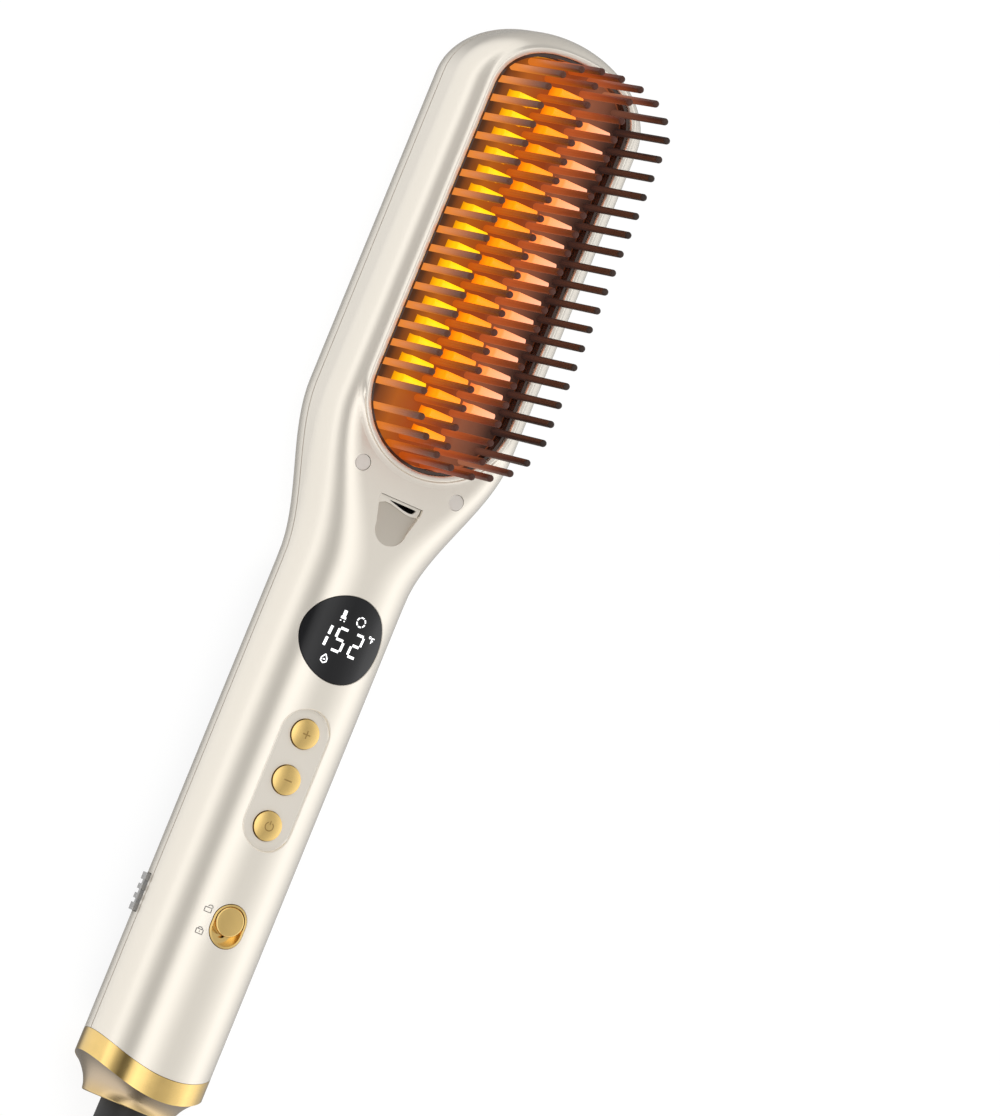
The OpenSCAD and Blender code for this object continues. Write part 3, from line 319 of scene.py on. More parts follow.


# The plate's glow is painted: emission yellow on the left, orange in the middle and peach on the right, dimmer low
# down, with paler tooth tops as painted highlights.
GLOW = material("glowing_plate", (0.40, 0.12, 0.02), rough=0.35, grain=0.15, grain_size=0.4, vary=0.1, vary_size=4)
lit_by_place(GLOW, [(-21, (0.5, 0.1, 0.0)), (-15, (0.9, 0.45, 0.0)), (-12, (1.0, 0.62, 0.0)), (-6, (1.0, 0.50, 0.0)),
                    (-4, (1.0, 0.30, 0.0)), (3, (1.0, 0.25, 0.01)), (7, (0.98, 0.30, 0.07)), (14, (0.97, 0.38, 0.17)),
                    (18, (0.7, 0.24, 0.1)), (21, (0.2, 0.06, 0.03))],
             [(28, (0.6, 0.4, 0.4)), (31, (0.7, 0.55, 0.5)), (35, (1, 1, 1)), (36.8, (1, 1, 1)),
              (37.6, (1, 1.15, 1.7)), (38.2, (1, 1.2, 1.9))], 1.1)
# The bristles carry painted glow: orange emission on the left and middle pins that fades towards their tips, a dark
# right ring, and painted glow on the board beneath.
PINS = material("bristles", (0.036, 0.022, 0.017), rough=0.45, ior=1.3, grain=0.1, vary=0.25, vary_size=7)
lit_by_place(PINS, [(-21, (0.80, 0.24, 0.04)), (-17, (0.80, 0.24, 0.04)), (-11, (0.62, 0.14, 0.01)),
                    (-5, (0.46, 0.07, 0.004)), (3, (0.40, 0.06, 0.008)), (9, (0.40, 0.12, 0.05)),
                    (13, (0.30, 0.11, 0.06)), (15.5, (0.08, 0.03, 0.02)), (17.6, (0.012, 0.008, 0.008)),
                    (21, (0.01, 0.006, 0.005))],
             [(28, (1, 1, 1)), (36, (1, 1, 1)), (44, (0.75, 0.7, 0.7)), (54, (0.35, 0.28, 0.35)),
              (61, (0.12, 0.08, 0.1)), (65, (0.05, 0.03, 0.03))], 1.0,
             [(-21, (0.035, 0.010, 0.002)), (-17.2, (0.045, 0.012, 0.002)), (-16, (0.16, 0.035, 0.002)),
              (-11, (0.40, 0.09, 0.003)), (-5, (0.32, 0.05, 0.002)), (3, (0.24, 0.035, 0.003)),
              (9, (0.24, 0.07, 0.03)), (13, (0.16, 0.05, 0.025)), (17, (0.03, 0.01, 0.006)),
              (21, (0.01, 0.004, 0.003))])


def tinted(mat, stops, axis, low, high):
    """Lays the material's colour along one axis of the object."""
    tree, bsdf = links(mat)
    tint = ramp_along(tree, node(tree, "ShaderNodeTexCoord"), stops, axis, low, high)
    tree.links.new(tint, bsdf.inputs["Base Color"])


# Across the tank's two walls the colour holds painted light: a painted highlight band round x = 8 and painted shade
# towards both sides.
for smoked in (SMOKED, SMOKED_IN):
    tinted(smoked, [(-17, (0.035, 0.035, 0.034)), (-11, (0.025, 0.025, 0.025)), (-9.5, (0.065, 0.063, 0.058)),
                    (3, (0.075, 0.072, 0.066)), (8, (0.14, 0.135, 0.125)), (11, (0.06, 0.058, 0.054)),
                    (17, (0.03, 0.03, 0.03))], "X", -18, 18)
tinted(CHAMPAGNE, [(-150.5, (0.80, 0.58, 0.24)), (-149.2, (0.66, 0.48, 0.24)), (-146, (0.58, 0.46, 0.32)),
                   (-138, (0.44, 0.38, 0.31))], "Y", -151, -137)

NODE_MATERIAL = {
    "front_shell": PEARL, "rear_shell": PEARL, "rear_panel": PANEL, "plate_frame": FRAME_BROWN,
    "heating_plate": GLOW, "bristle_field": PINS, "heater_bars": CERAMIC, "heat_sensor": CERAMIC,
    "heat_shield": STEEL, "screw_covers": COVER, "case_screws": STEEL, "steam_nozzle": BLACK_PLASTIC,
    "steam_pipe": SILICONE, "steam_generator": CAST, "pressure_hose": SILICONE, "pump": GREY_PLASTIC,
    "suction_hose": SILICONE, "tank_port": GREY_PLASTIC, "display_lens": BLACK_GLASS,
    "display_module": BLACK_PLASTIC, "control_board": BOARD, "board_screws": STEEL,
    "key_switches": BLACK_PLASTIC, "button_plate": POCKET, "button_more": GOLD, "button_less": GOLD,
    "button_power": GOLD, "switch_well": GOLD, "switch_knob": GOLD, "slide_switch": BLACK_PLASTIC,
    "main_board": BOARD, "power_parts": PARTS, "tray_screws": STEEL, "tank_shell": SMOKED,
    "tank_lid": SMOKED_IN, "tank_seal": RUBBER, "filler_plug": GOLD, "grip_left": GRIP, "grip_right": GRIP,
    "trim_ring": GOLD, "sleeve": GREY_PLASTIC, "end_cap": CHAMPAGNE, "swivel_retainer": GREY_PLASTIC,
    "strain_relief": RUBBER, "cord_tube": CORD_BLACK, "cord_hank": CORD_BLACK, "cord_tie": TIE,
    "plug_body": RUBBER, "plug_blades": NICKEL}


def dress(name, mat):
    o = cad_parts[name]
    o.data.materials.clear()
    o.data.materials.append(mat)


for name, mat in NODE_MATERIAL.items():
    dress(name, mat)
cord.data.materials.append(CORD_BLACK)


# ---------------------------------------------------------------- moulded skins
HEAD_W, HEAD_FRONT, HEAD_BACK, WALL = 55.4, 17.5, 14.0, 2.2
TIP_LEN, FLARE_LEN = 20.0, 45.0
OPEN_W, OPEN_LEN, OPEN_MARGIN, OPEN_TIP, OPEN_NECK = 41.2, 114.2, 5.4, 15.0, 19.6
OPEN_Y1 = BODY_LEN - OPEN_MARGIN
OPEN_Y0 = OPEN_Y1 - OPEN_LEN
FLARE_Y1 = OPEN_Y0 + 12.6
FLARE_Y0 = FLARE_Y1 - FLARE_LEN
TIP_Y = BODY_LEN - TIP_LEN
LIP_TOP = HEAD_FRONT + 0.5
RING_Y, SADDLE_R = 15.6, 35.3
CAP_R, CAP_HOLE, CAP_TOP = 12.4, 7.1, RING_Y - 6.2
TANK_Y, TANK_LEN, TANK_W = 19.1, 132.0, 32.3
TRAY_TOP, TRAY_BACK = 7.0, 5.0
BAY_Y0, BAY_Y1 = TANK_Y - 1.5, TANK_Y + TANK_LEN + 2
DISPLAY_Y, DISPLAY_D = 132.8, 23.1
BUTTON_Y, BUTTON_PITCH, POCKET_W = 80.9, 12.8, 13.9
SWITCH_Y, WELL_W, WELL_LEN = 53.0, 9.4, 11.9
COVER_Y, COVER_X, COVER_D = OPEN_Y0 - 3.4, 14.35, 4.1
SCOOP_Y1 = OPEN_Y0 - 8.7
SCOOP_W, SCOOP_LEN, SCOOP_Z = 12.8, 12.2, 15.0
PANEL_W, PANEL_LEN, PANEL_Y = 39.8, 101.0, OPEN_Y0 + 5.1
PANEL_SEAT = -12.65
GRIP_LEN = 10.4
SEAM = 0.22           # how far the parting edges are eased
INSIDE, ABOVE = 9.0, 30.0      # where a cutter through the skin starts and ends
AROUND = 52           # steps from the parting plane to the middle


def mix(a, b, t):
    return a + (b - a) * t


def saddle(z):
    """Where the gold ring's curve lies along the brush, at a height."""
    return RING_Y - SADDLE_R + math.sqrt(SADDLE_R ** 2 - z * z)


class Half:
    """Front or rear half of the housing. Heights count outwards from the parting plane."""

    def __init__(self, depth, cx, cz, sign):
        self.depth, self.cx, self.cz, self.sign = depth, cx, cz, sign

    def section(self, s, t=0.0):
        """Half width, height and edge rounding at s, drawn in by t."""
        if t and self.sign < 0 and BAY_Y0 < s < BAY_Y1:
            return HANDLE_R - t, TRAY_BACK, 1.0, 1.0
        k = smooth((s - FLARE_Y0) / FLARE_LEN)
        return (mix(HANDLE_R, HEAD_W / 2, k) - t, mix(HANDLE_R, self.depth, k) - t,
                mix(HANDLE_R - 0.4, self.cx, k) - t, mix(HANDLE_R - 0.4, self.cz, k) - t)

    def profile(self, s, t):
        """Even points over a quarter section, as (distance in from the side, height)."""
        w, h, cx, cz = self.section(s, t)
        fine = [(0.0, 0.0)]
        fine += [(cx * (1 - math.cos(a)), h - cz + cz * math.sin(a)) for a in
                 (math.pi / 2 * i / 60 for i in range(61))]
        fine += [(w, h)]
        run = [0.0]
        for p, q in zip(fine, fine[1:]):
            run.append(run[-1] + math.dist(p, q))
        out, k = [], 0
        for i in range(AROUND + 1):
            want = run[-1] * i / AROUND
            while k < len(run) - 2 and run[k + 1] < want:
                k += 1
            part = (want - run[k]) / max(1e-9, run[k + 1] - run[k])
            out.append((mix(fine[k][0], fine[k + 1][0], part), mix(fine[k][1], fine[k + 1][1], part)))
        out[0] = (SEAM if t == 0 else 0.0, 0.0)
        if t == 0:
            out[1] = (0.0, SEAM) if h - cz > SEAM else (cx * (1 - math.cos(SEAM / cz)), SEAM)
        return out

    def row(self, s, v, t):
        """A row across the half as (x, s, height). Turning v rounds the head's tip."""
        w, _, cx, _ = self.section(s, t)
        tip = TIP_LEN - t
        half = []
        for d, z in self.profile(s, t):
            if v is None:
                half.append((w - d, s, z))
            elif d <= cx:
                half.append(((w - d) * math.cos(v), TIP_Y + (tip - d) * math.sin(v), z))
            else:
                u = 1 - (d - cx) / (w - cx)
                half.append(((w - cx) * math.cos(v) * u, TIP_Y + (tip - cx) * math.sin(v) * u, z))
        return half + [(-x, y, z) for x, y, z in reversed(half[:-1])]

    def inset(self, x, s):
        """How far a point lies in from the outline, seen from the front."""
        w = self.section(min(s, TIP_Y))[0]
        x = abs(x)
        if s <= TIP_Y:
            return w - x
        low, high = -1.0, TIP_LEN - 0.01
        for _ in range(30):
            d = (low + high) / 2
            if (x / (w - d)) ** 2 + ((s - TIP_Y) / (TIP_LEN - d)) ** 2 < 1:
                low = d
            else:
                high = d
        return low

    def height(self, x, s):
        """Height of the outer face over the parting plane."""
        _, h, cx, cz = self.section(min(s, TIP_Y))
        d = min(cx, max(0.0, self.inset(x, s)))
        return h - cz + cz * math.sqrt(max(0.0, 1 - (1 - d / cx) ** 2))

    def on_skin(self, x, s, z):
        _, h, _, cz = self.section(min(s, TIP_Y))
        if self.inset(x, s) < 0.05:
            return self.inset(x, s) > -0.08 and z < h - cz + 0.8
        return abs(z - self.height(x, s)) < 0.06

    def normal(self, x, s, z):
        """Outward normal of the outer face, in the half's own frame."""
        w, h, cx, cz = self.section(min(s, TIP_Y))
        side = 1 if x >= 0 else -1
        d = min(cx, max(0.0, self.inset(x, s)))
        if s > TIP_Y:
            out = Vector((abs(x) / (w - d) ** 2, (s - TIP_Y) / (TIP_LEN - d) ** 2, 0)).normalized()
            slope = 0.0
        else:
            step = 0.25
            w0, w1 = self.section(s - step)[0], self.section(s + step)[0]
            out = Vector((1, (w0 - w1) / (2 * step), 0))
            slope = (self.height(x, s - step) - self.height(x, s + step)) / (2 * step)
        if d < 1e-3 or z < h - cz:
            return Vector((out.x * side, out.y, 0)).normalized()
        c = 1 - d / cx
        n = out * (c / cx)
        up = math.sqrt(max(0.0, 1 - c * c)) / cz
        if s <= TIP_Y:
            n = Vector((c / cx, slope * up, 0))
        return Vector((n.x * side, n.y, up)).normalized()


FRONT = Half(HEAD_FRONT, 8.0, 11.0, 1)
REAR = Half(HEAD_BACK, 9.0, 13.2, -1)


def stations():
    """Places of the rows along the brush: on the ring's curve, straight across, or turned round the tip."""
    rows = [("saddle", 0.0), ("saddle", 0.5), ("at", BAY_Y0 - 0.05), ("at", BAY_Y0 + 0.05)]
    rows += [("at", 20 + 2 * i) for i in range(64)]
    rows += [("at", mix(148, BAY_Y1 - 0.05, 0.5)), ("at", BAY_Y1 - 0.05), ("at", BAY_Y1 + 0.05)]
    rows += [("at", 154.2 + 1.2 * i) for i in range(34)]
    rows += [("at", 195 + 2.5 * i) for i in range(34)]
    rows += [("turn", math.pi / 2 * i / 30) for i in range(31)]
    return rows


def shell_rows(half, t):
    rows = []
    for kind, value in stations():
        if kind == "saddle":
            row = half.row(BAY_Y0 - 0.05, None, t)
            rows.append([(x, mix(saddle(z), BAY_Y0 - 0.05, value), z) for x, _, z in row])
        elif kind == "at":
            rows.append(half.row(value, None, t))
        else:
            rows.append(half.row(TIP_Y, value, t))
    return rows


def mesh_object(name, points, faces, smooth_shading=False):
    """A new object from points in the brush's millimetres, (x, s, z)."""
    mesh = bpy.data.meshes.new(name)
    mesh.from_pydata([at(*p) for p in points], [], faces)
    mesh.validate()
    if smooth_shading:
        mesh.shade_smooth()
    piece = bpy.data.objects.new(name, mesh)
    bpy.context.scene.collection.objects.link(piece)
    return piece


def tidy_normals(piece):
    bm = bmesh.new()
    bm.from_mesh(piece.data)
    bmesh.ops.recalc_face_normals(bm, faces=bm.faces)
    bm.to_mesh(piece.data)
    bm.free()


def tidy_mesh(piece, merge=0.002):
    bm = bmesh.new()
    bm.from_mesh(piece.data)
    bmesh.ops.remove_doubles(bm, verts=bm.verts, dist=merge * MM)
    bmesh.ops.dissolve_degenerate(bm, edges=bm.edges, dist=merge * MM)
    bmesh.ops.recalc_face_normals(bm, faces=bm.faces)
    bm.to_mesh(piece.data)
    bm.free()


def shell(name, half):
    """The closed half shell: outer face, inner face and the edges between them."""
    outer, inner = shell_rows(half, 0.0), shell_rows(half, WALL)
    m, n = len(outer), len(outer[0])
    off = m * n
    faces = []
    for j in range(m - 1):
        for i in range(n - 1):
            a, b, c, d = j * n + i, j * n + i + 1, (j + 1) * n + i + 1, (j + 1) * n + i
            faces += [(a, b, c, d), (off + a, off + d, off + c, off + b)]
        for i in (0, n - 1):
            a, d = j * n + i, (j + 1) * n + i
            faces.append((a, d, off + d, off + a))
    faces += [(i, i + 1, off + i + 1, off + i) for i in range(n - 1)]
    points = [(x, s, z * half.sign) for grid in (outer, inner) for row in grid for x, s, z in row]
    piece = mesh_object(name, points, faces)
    tidy_mesh(piece)
    return piece


def prism(outline, z0, z1):
    """Points and faces of an outline pulled up from z0 to z1; each may be a function of (x, s)."""
    n = len(outline)
    low = [(x, s, z0(x, s) if callable(z0) else z0) for x, s in outline]
    points = low + [(x, s, z1(x, s) if callable(z1) else z1) for x, s in outline]
    sides = [(i, (i + 1) % n, n + (i + 1) % n, n + i) for i in range(n)]
    return points, [tuple(range(n - 1, -1, -1))] + sides + [tuple(range(n, 2 * n))]


def cut(piece, prisms):
    """Takes the prisms out of the piece."""
    points, faces = [], []
    for p, f in prisms:
        faces += [tuple(i + len(points) for i in face) for face in f]
        points += p
    tool = mesh_object("cutter", points, faces)
    tidy_mesh(tool, 0.0005)
    knife = piece.modifiers.new("cut", "BOOLEAN")
    knife.operation = "DIFFERENCE"
    knife.solver = "EXACT"
    knife.object = tool
    done = bpy.data.meshes.new_from_object(piece.evaluated_get(bpy.context.evaluated_depsgraph_get()))
    old = piece.data
    piece.modifiers.clear()
    piece.data = done
    bpy.data.meshes.remove(old)
    bpy.data.objects.remove(tool)


def shade_skin(piece, half):
    """Gives the outer face the normals of the true surface, and keeps cut edges sharp."""
    mesh = piece.data
    mesh.shade_smooth()
    place = [(v.co.x / MM, v.co.y / MM + HALF_LEN, (v.co.z / MM - AXIS_Z) * half.sign) for v in mesh.vertices]
    lies = [half.on_skin(*p) for p in place]
    cache = {}
    normals = []
    for poly in mesh.polygons:
        outer = all(lies[i] for i in poly.vertices) and poly.normal.z * half.sign > -0.3
        for i in poly.vertices:
            if outer and i not in cache:
                n = half.normal(*place[i])
                cache[i] = Vector((n.x, n.y, n.z * half.sign))
            normals.append(cache[i] if outer else poly.normal)
    mesh.normals_split_custom_set(normals)


def oval(d, a=OPEN_W / 2, y0=OPEN_Y0, y1=OPEN_Y1, b0=OPEN_NECK, b1=OPEN_TIP, n0=2.0, n1=2.3, m=28):
    """An outline like the plate opening's, drawn in by d."""
    turn = [math.pi / 2 * i / m for i in range(m + 1)]
    up = [((a - d) * math.cos(v) ** (2 / n1), y1 - b1 + (b1 - d) * math.sin(v) ** (2 / n1)) for v in turn[:-1]]
    up.append((0.0, y1 - d))
    down = [((a - d) * math.cos(v) ** (2 / n0), y0 + b0 - (b0 - d) * math.sin(v) ** (2 / n0)) for v in turn[:-1]]
    down.append((0.0, y0 + d))
    right = list(reversed(down)) + [(a - d, mix(y0 + b0, y1 - b1, k / 12)) for k in range(1, 12)] + up
    return right + [(-x, y) for x, y in reversed(right[1:-1])]


def stadium(width, length, y, d=0.0, m=20):
    """A stadium along the brush round [0, y], made larger by d."""
    r, c = width / 2 + d, (length - width) / 2
    turn = [math.pi * i / m for i in range(m + 1)]
    side = [k / 6 for k in range(1, 6)]
    top = [(r * math.cos(v), y + c + r * math.sin(v)) for v in turn]
    bottom = [(-r * math.cos(v), y - c - r * math.sin(v)) for v in turn]
    left = [(-r, mix(y + c, y - c, k)) for k in side] if c > 0 else []
    right = [(r, mix(y - c, y + c, k)) for k in side] if c > 0 else []
    if c <= 0:
        bottom = bottom[1:-1]
    return top + left + bottom + right


def circle(r, x, y, m=64):
    return [(x + r * math.cos(2 * math.pi * i / m), y + r * math.sin(2 * math.pi * i / m)) for i in range(m)]


def rectangle(x0, x1, y0, y1):
    return [(x0, y0), (x1, y0), (x1, y1), (x0, y1)]


def rim(name, half, outline, rows):
    """A closed ring round a hole in the skin. Each row is (outline's growth, height, whether over the skin)."""
    rings = []
    for d, z, over in rows:
        line = outline(d)
        rings.append([(x, s, ((half.height(x, s) if over else 0) + z) * half.sign) for x, s in line])
    m, n = len(rings), len(rings[0])
    faces = [(j * n + i, j * n + (i + 1) % n, (j + 1) % m * n + (i + 1) % n, (j + 1) % m * n + i)
             for j in range(m) for i in range(n)]
    piece = mesh_object(name, [p for ring in rings for p in ring], faces, True)
    tidy_normals(piece)
    piece.data.set_sharp_from_angle(angle=math.radians(50))
    piece.data.materials.append(PEARL)
    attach(piece, "housing")


def pocket_plan(d, m=20):
    return stadium(POCKET_W, 2 * BUTTON_PITCH + POCKET_W - 0.6, BUTTON_Y + BUTTON_PITCH, d, m)


def well_plan(d):
    return stadium(WELL_W + 0.2, WELL_LEN, SWITCH_Y, d)


def make_front():
    piece = shell("front_skin", FRONT)
    scoop = [(SCOOP_W / 2, SCOOP_Y1), (SCOOP_W / 2, SCOOP_Y1 - 1.5)]
    r = 0.72 * SCOOP_W / 2
    y0 = SCOOP_Y1 - SCOOP_LEN
    scoop += [(r * math.cos(v), y0 + r - r * math.sin(v)) for v in (math.pi * i / 24 for i in range(25))]
    scoop += [(-SCOOP_W / 2, SCOOP_Y1 - 1.5), (-SCOOP_W / 2, SCOOP_Y1)]
    deep = SCOOP_Z + 0.4
    fall = (HEAD_FRONT - deep) / SCOOP_LEN

    def scoop_floor(x, s):
        return deep + (SCOOP_Y1 - s) * fall

    openings = [oval(-0.7), circle(DISPLAY_D / 2 + 0.3, 0, DISPLAY_Y), pocket_plan(0.3), well_plan(0.12),
                circle(COVER_D / 2 + 0.1, COVER_X, COVER_Y, 40), circle(COVER_D / 2 + 0.1, -COVER_X, COVER_Y, 40)]
    cut(piece, [prism(plan, INSIDE, ABOVE) for plan in openings] + [prism(scoop, scoop_floor, ABOVE)])
    y = SCOOP_Y1
    mouth = [(-3.1, y - 0.75), (5.0, y - 0.75), (5.1, y - 1.1), (4.6, y - 1.9), (3.4, y - 2.15), (1.6, y - 1.95),
             (-0.6, y - 1.45), (-2.4, y - 1.0)]
    cut(piece, [prism(mouth, INSIDE, ABOVE)])
    bowl = mesh_object("scoop_bowl", *prism([(px * 0.995, ps - 0.02) for px, ps in scoop],
                                            lambda x, s: scoop_floor(x, s) - 0.1,
                                            lambda x, s: scoop_floor(x, s) + 0.04))
    lip = [(-6.2, y - 0.1), (6.2, y - 0.1), (6.1, y - 2.5), (4.4, y - 2.75), (2.6, y - 2.7), (0, y - 2.1),
           (-2.2, y - 1.6), (-3.9, y - 1.6), (-5.2, y - 2.2), (-6.0, y - 3.2)]
    bridge = mesh_object("scoop_lip", *prism(lip, lambda x, s: scoop_floor(x, s) + 0.02,
                                             lambda x, s: scoop_floor(x, s) + 0.3 + 0.25 * (s - y + 3)))
    # The bowl's darker pearl is painted shade.
    for extra, mat in ((bowl, SHADED_SCOOP), (bridge, POCKET)):
        cut(extra, [prism(mouth, INSIDE, ABOVE)])
        extra.data.materials.append(mat)
        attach(extra, "housing")
    shade_skin(piece, FRONT)
    piece.data.materials.append(PEARL)
    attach(piece, "housing")
    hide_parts("front_shell")


def make_rims():
    soft_edge = [(0.75, -0.03, True), (0.55, 0.0, True), (0.35, -0.02, True), (0.18, -0.09, True),
                 (0.06, -0.2, True), (0.0, -0.38, True)]
    lip = [(3.5, -0.06, True), (3.2, 0.0, True), (2.7, 0.02, True), (2.2, 0.1, True), (1.8, 0.32, True),
           (1.52, LIP_TOP - 0.42, False), (1.4, LIP_TOP - 0.18, False), (1.15, LIP_TOP - 0.03, False),
           (0.85, LIP_TOP, False), (0.5, LIP_TOP, False), (0.22, LIP_TOP - 0.06, False),
           (0.05, LIP_TOP - 0.24, False), (0.0, LIP_TOP - 0.5, False), (0.0, 13.0, False), (1.2, 13.0, False),
           (3.3, -1.5, True)]
    rim("opening_lip", FRONT, lambda d: oval(-d), lip)
    rim("display_rim", FRONT, lambda d: circle(DISPLAY_D / 2 + 0.1 + d, 0, DISPLAY_Y, 96),
        soft_edge[1:] + [(0.0, -1.8, True), (0.7, -1.8, True)])
    rim("pocket_rim", FRONT, lambda d: pocket_plan(d, 28),
        soft_edge + [(-0.1, 15.99, False), (-0.34, 15.92, False), (-0.34, 15.905, False), (0.3, 15.905, False),
                     (0.7, 14.4, False)])
    rim("well_rim", FRONT, well_plan, soft_edge[1:] + [(0.0, -1.6, True), (0.6, -1.6, True)])


def tank_plan(d):
    return oval(d, TANK_W / 2, TANK_Y, TANK_Y + TANK_LEN, 10.5, TANK_W / 2, 2.7, 2.0, 20)


def panel_plan(d):
    return oval(d, PANEL_W / 2, PANEL_Y, PANEL_Y + PANEL_LEN, 19.0, 16.0, 2.0, 2.2, 28)


def make_rear():
    piece = shell("rear_skin", REAR)
    y0, y1 = SWITCH_Y - GRIP_LEN / 2 - 0.2, SWITCH_Y + GRIP_LEN / 2 + 0.2
    grips = []
    for sign in (-1, 1):
        edge = sorted((sign * (HANDLE_R - 5.2), sign * 2 * HANDLE_R))
        grips.append(prism(rectangle(*edge, y0, y1), -6.2, -1.3))
    cut(piece, [prism(tank_plan(0), -ABOVE, -TRAY_TOP), prism(panel_plan(-0.3), -ABOVE, PANEL_SEAT)])
    cut(piece, grips)
    z0, z1 = -TRAY_TOP - 1, -TRAY_TOP + 0.4
    y = TANK_Y
    outlet = (6.0, TANK_Y + TANK_LEN - 8.1)
    cut(piece, [prism(rectangle(-14, 14, y + 7, y + 7.4), z0, z1),
                prism(rectangle(-12, -8, y + 24, y + 82), z0, z1 + 0.1),
                prism(rectangle(-15, 15, y + 108, y + 108.4), z0, z1),
                prism(circle(0.8, 0, y + 85.2, 24), z0, z1 + 0.2),
                prism(circle(2.65, 0, outlet[1] - 24, 40), z0, -TRAY_TOP + 0.9),
                prism(circle(1.9, 9.4, y + 14, 32), z0, -TRAY_TOP + 0.8),
                prism(circle(1.9, -9.4, y + 14, 32), z0, -TRAY_TOP + 0.8),
                prism(circle(4.0, outlet[0], outlet[1], 40), z0, 0)])
    shade_skin(piece, REAR)
    piece.data.materials.append(PEARL)
    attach(piece, "housing")
    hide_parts("rear_shell")
    edge = [(0.9, -0.03, True), (0.7, 0.0, True), (0.4, -0.04, True), (0.2, -0.12, True), (0.06, -0.26, True),
            (0.0, -0.45, True), (0.0, -PANEL_SEAT, False), (0.7, -PANEL_SEAT, False)]
    rim("panel_rim", REAR, lambda d: panel_plan(-d), edge)


make_front()
make_rims()
make_rear()


def grid_piece(name, rows, mat, closed=True):
    """A surface through rows of points, each row a closed ring; the rows close on themselves or end flat."""
    m, n = len(rows), len(rows[0])
    faces = [(j * n + i, j * n + (i + 1) % n, (j + 1) % m * n + (i + 1) % n, (j + 1) % m * n + i)
             for j in range(m if closed else m - 1) for i in range(n)]
    if not closed:
        faces += [tuple(range(n - 1, -1, -1)), tuple((m - 1) * n + i for i in range(n))]
    piece = mesh_object(name, [p for row in rows for p in row], faces, True)
    tidy_normals(piece)
    piece.data.set_sharp_from_angle(angle=math.radians(40))
    piece.data.materials.append(mat)
    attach(piece, "housing")
    return piece


def make_cap():
    """The flared end cap: turned below, saddle-shaped where it meets the gold ring."""
    around = [2 * math.pi * i / 128 for i in range(128)]

    def rim_at(a):
        return CAP_TOP - SADDLE_R + math.sqrt(SADDLE_R ** 2 - (HANDLE_R * math.sin(a)) ** 2)

    rows = [(CAP_HOLE, lambda a: 0.0), (CAP_R - 0.5, lambda a: 0.0), (CAP_R - 0.15, lambda a: 0.12),
            (CAP_R + 0.02, lambda a: 0.4)]
    for k in range(2, 41):
        t = k / 40
        rows.append((CAP_R + (HANDLE_R - CAP_R) * t ** 1.8, lambda a, t=t: t * rim_at(a)))
    rows += [(HANDLE_R - 2.2, rim_at), (10.4, lambda a: 2.4), (CAP_HOLE, lambda a: 2.4)]
    cap = grid_piece("cap_skin", [[(r * math.cos(a), y(a), r * math.sin(a)) for a in around] for r, y in rows],
                     CHAMPAGNE)
    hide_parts("end_cap")


def make_parting_line():
    """The fine line where the two halves meet."""
    rows = shell_rows(FRONT, 0.0)
    line = [row[0][:2] for row in rows] + [row[-1][:2] for row in reversed(rows)]
    path = [line[0]]
    for q in line[1:]:
        if math.dist(q, path[-1]) > 0.05:
            path.append(q)
    section = ((0.2, 0.13), (0.2, -0.13), (-0.3, -0.13), (-0.3, 0.13))     # outwards, up
    ring_rows = []
    for i, (x, y) in enumerate(path):
        before, after = path[max(0, i - 1)], path[min(len(path) - 1, i + 1)]
        dx, dy = after[0] - before[0], after[1] - before[1]
        d = math.hypot(dx, dy)
        nx, ny = dy / d, -dx / d
        ring_rows.append([(x + nx * k, y + ny * k, z) for k, z in section])
    piece = grid_piece("parting_line", ring_rows, SEAM_LINE, closed=False)


make_cap()
make_parting_line()


# ---------------------------------------------------------------- marks
def ribbon(points, faces, line, width, height, lift, closed):
    """A flat stroke lying on a curved surface; the line is (x, s) in millimetres."""
    fine = []
    ends = list(zip(line, line[1:] + line[:1])) if closed else list(zip(line, line[1:]))
    for (x0, s0), (x1, s1) in ends:
        n = max(1, math.ceil(math.hypot(x1 - x0, s1 - s0) / 0.5))
        fine += [(mix(x0, x1, i / n), mix(s0, s1, i / n)) for i in range(n)]
    if not closed:
        fine.append(line[-1])
    first, count = len(points), len(fine)
    for i, (x, s) in enumerate(fine):
        before = fine[i - 1] if i or closed else (x, s)
        after = fine[(i + 1) % count] if i < count - 1 or closed else (x, s)
        dx, ds = after[0] - before[0], after[1] - before[1]
        d = math.hypot(dx, ds) or 1
        for side in (-1, 1):
            px, ps = x - side * ds / d * width / 2, s + side * dx / d * width / 2
            z = height(px, ps)
            points += [(px, ps, z + lift), (px, ps, z - 0.05)]
    steps = count if closed else count - 1
    for i in range(steps):
        a, b = first + 4 * i, first + 4 * ((i + 1) % count)
        faces += [(a, b, b + 2, a + 2), (a + 1, a + 3, b + 3, b + 1), (a, a + 1, b + 1, b),
                  (a + 2, b + 2, b + 3, a + 3)]
    if not closed:
        a, b = first, first + 4 * (count - 1)
        faces += [(a, a + 2, a + 3, a + 1), (b, b + 1, b + 3, b + 2)]


def marks(name, strokes, height, mat, body, lift=0.03, side=1):
    """Strokes as one thin piece, over the front with side 1 and over the back with side -1."""
    points, faces = [], []
    for line, width, closed in strokes:
        ribbon(points, faces, line, width, height, lift, closed)
    piece = mesh_object(name, [(x, s, side * z) for x, s, z in points], faces)
    tidy_normals(piece)
    piece.data.materials.append(mat)
    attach(piece, body)


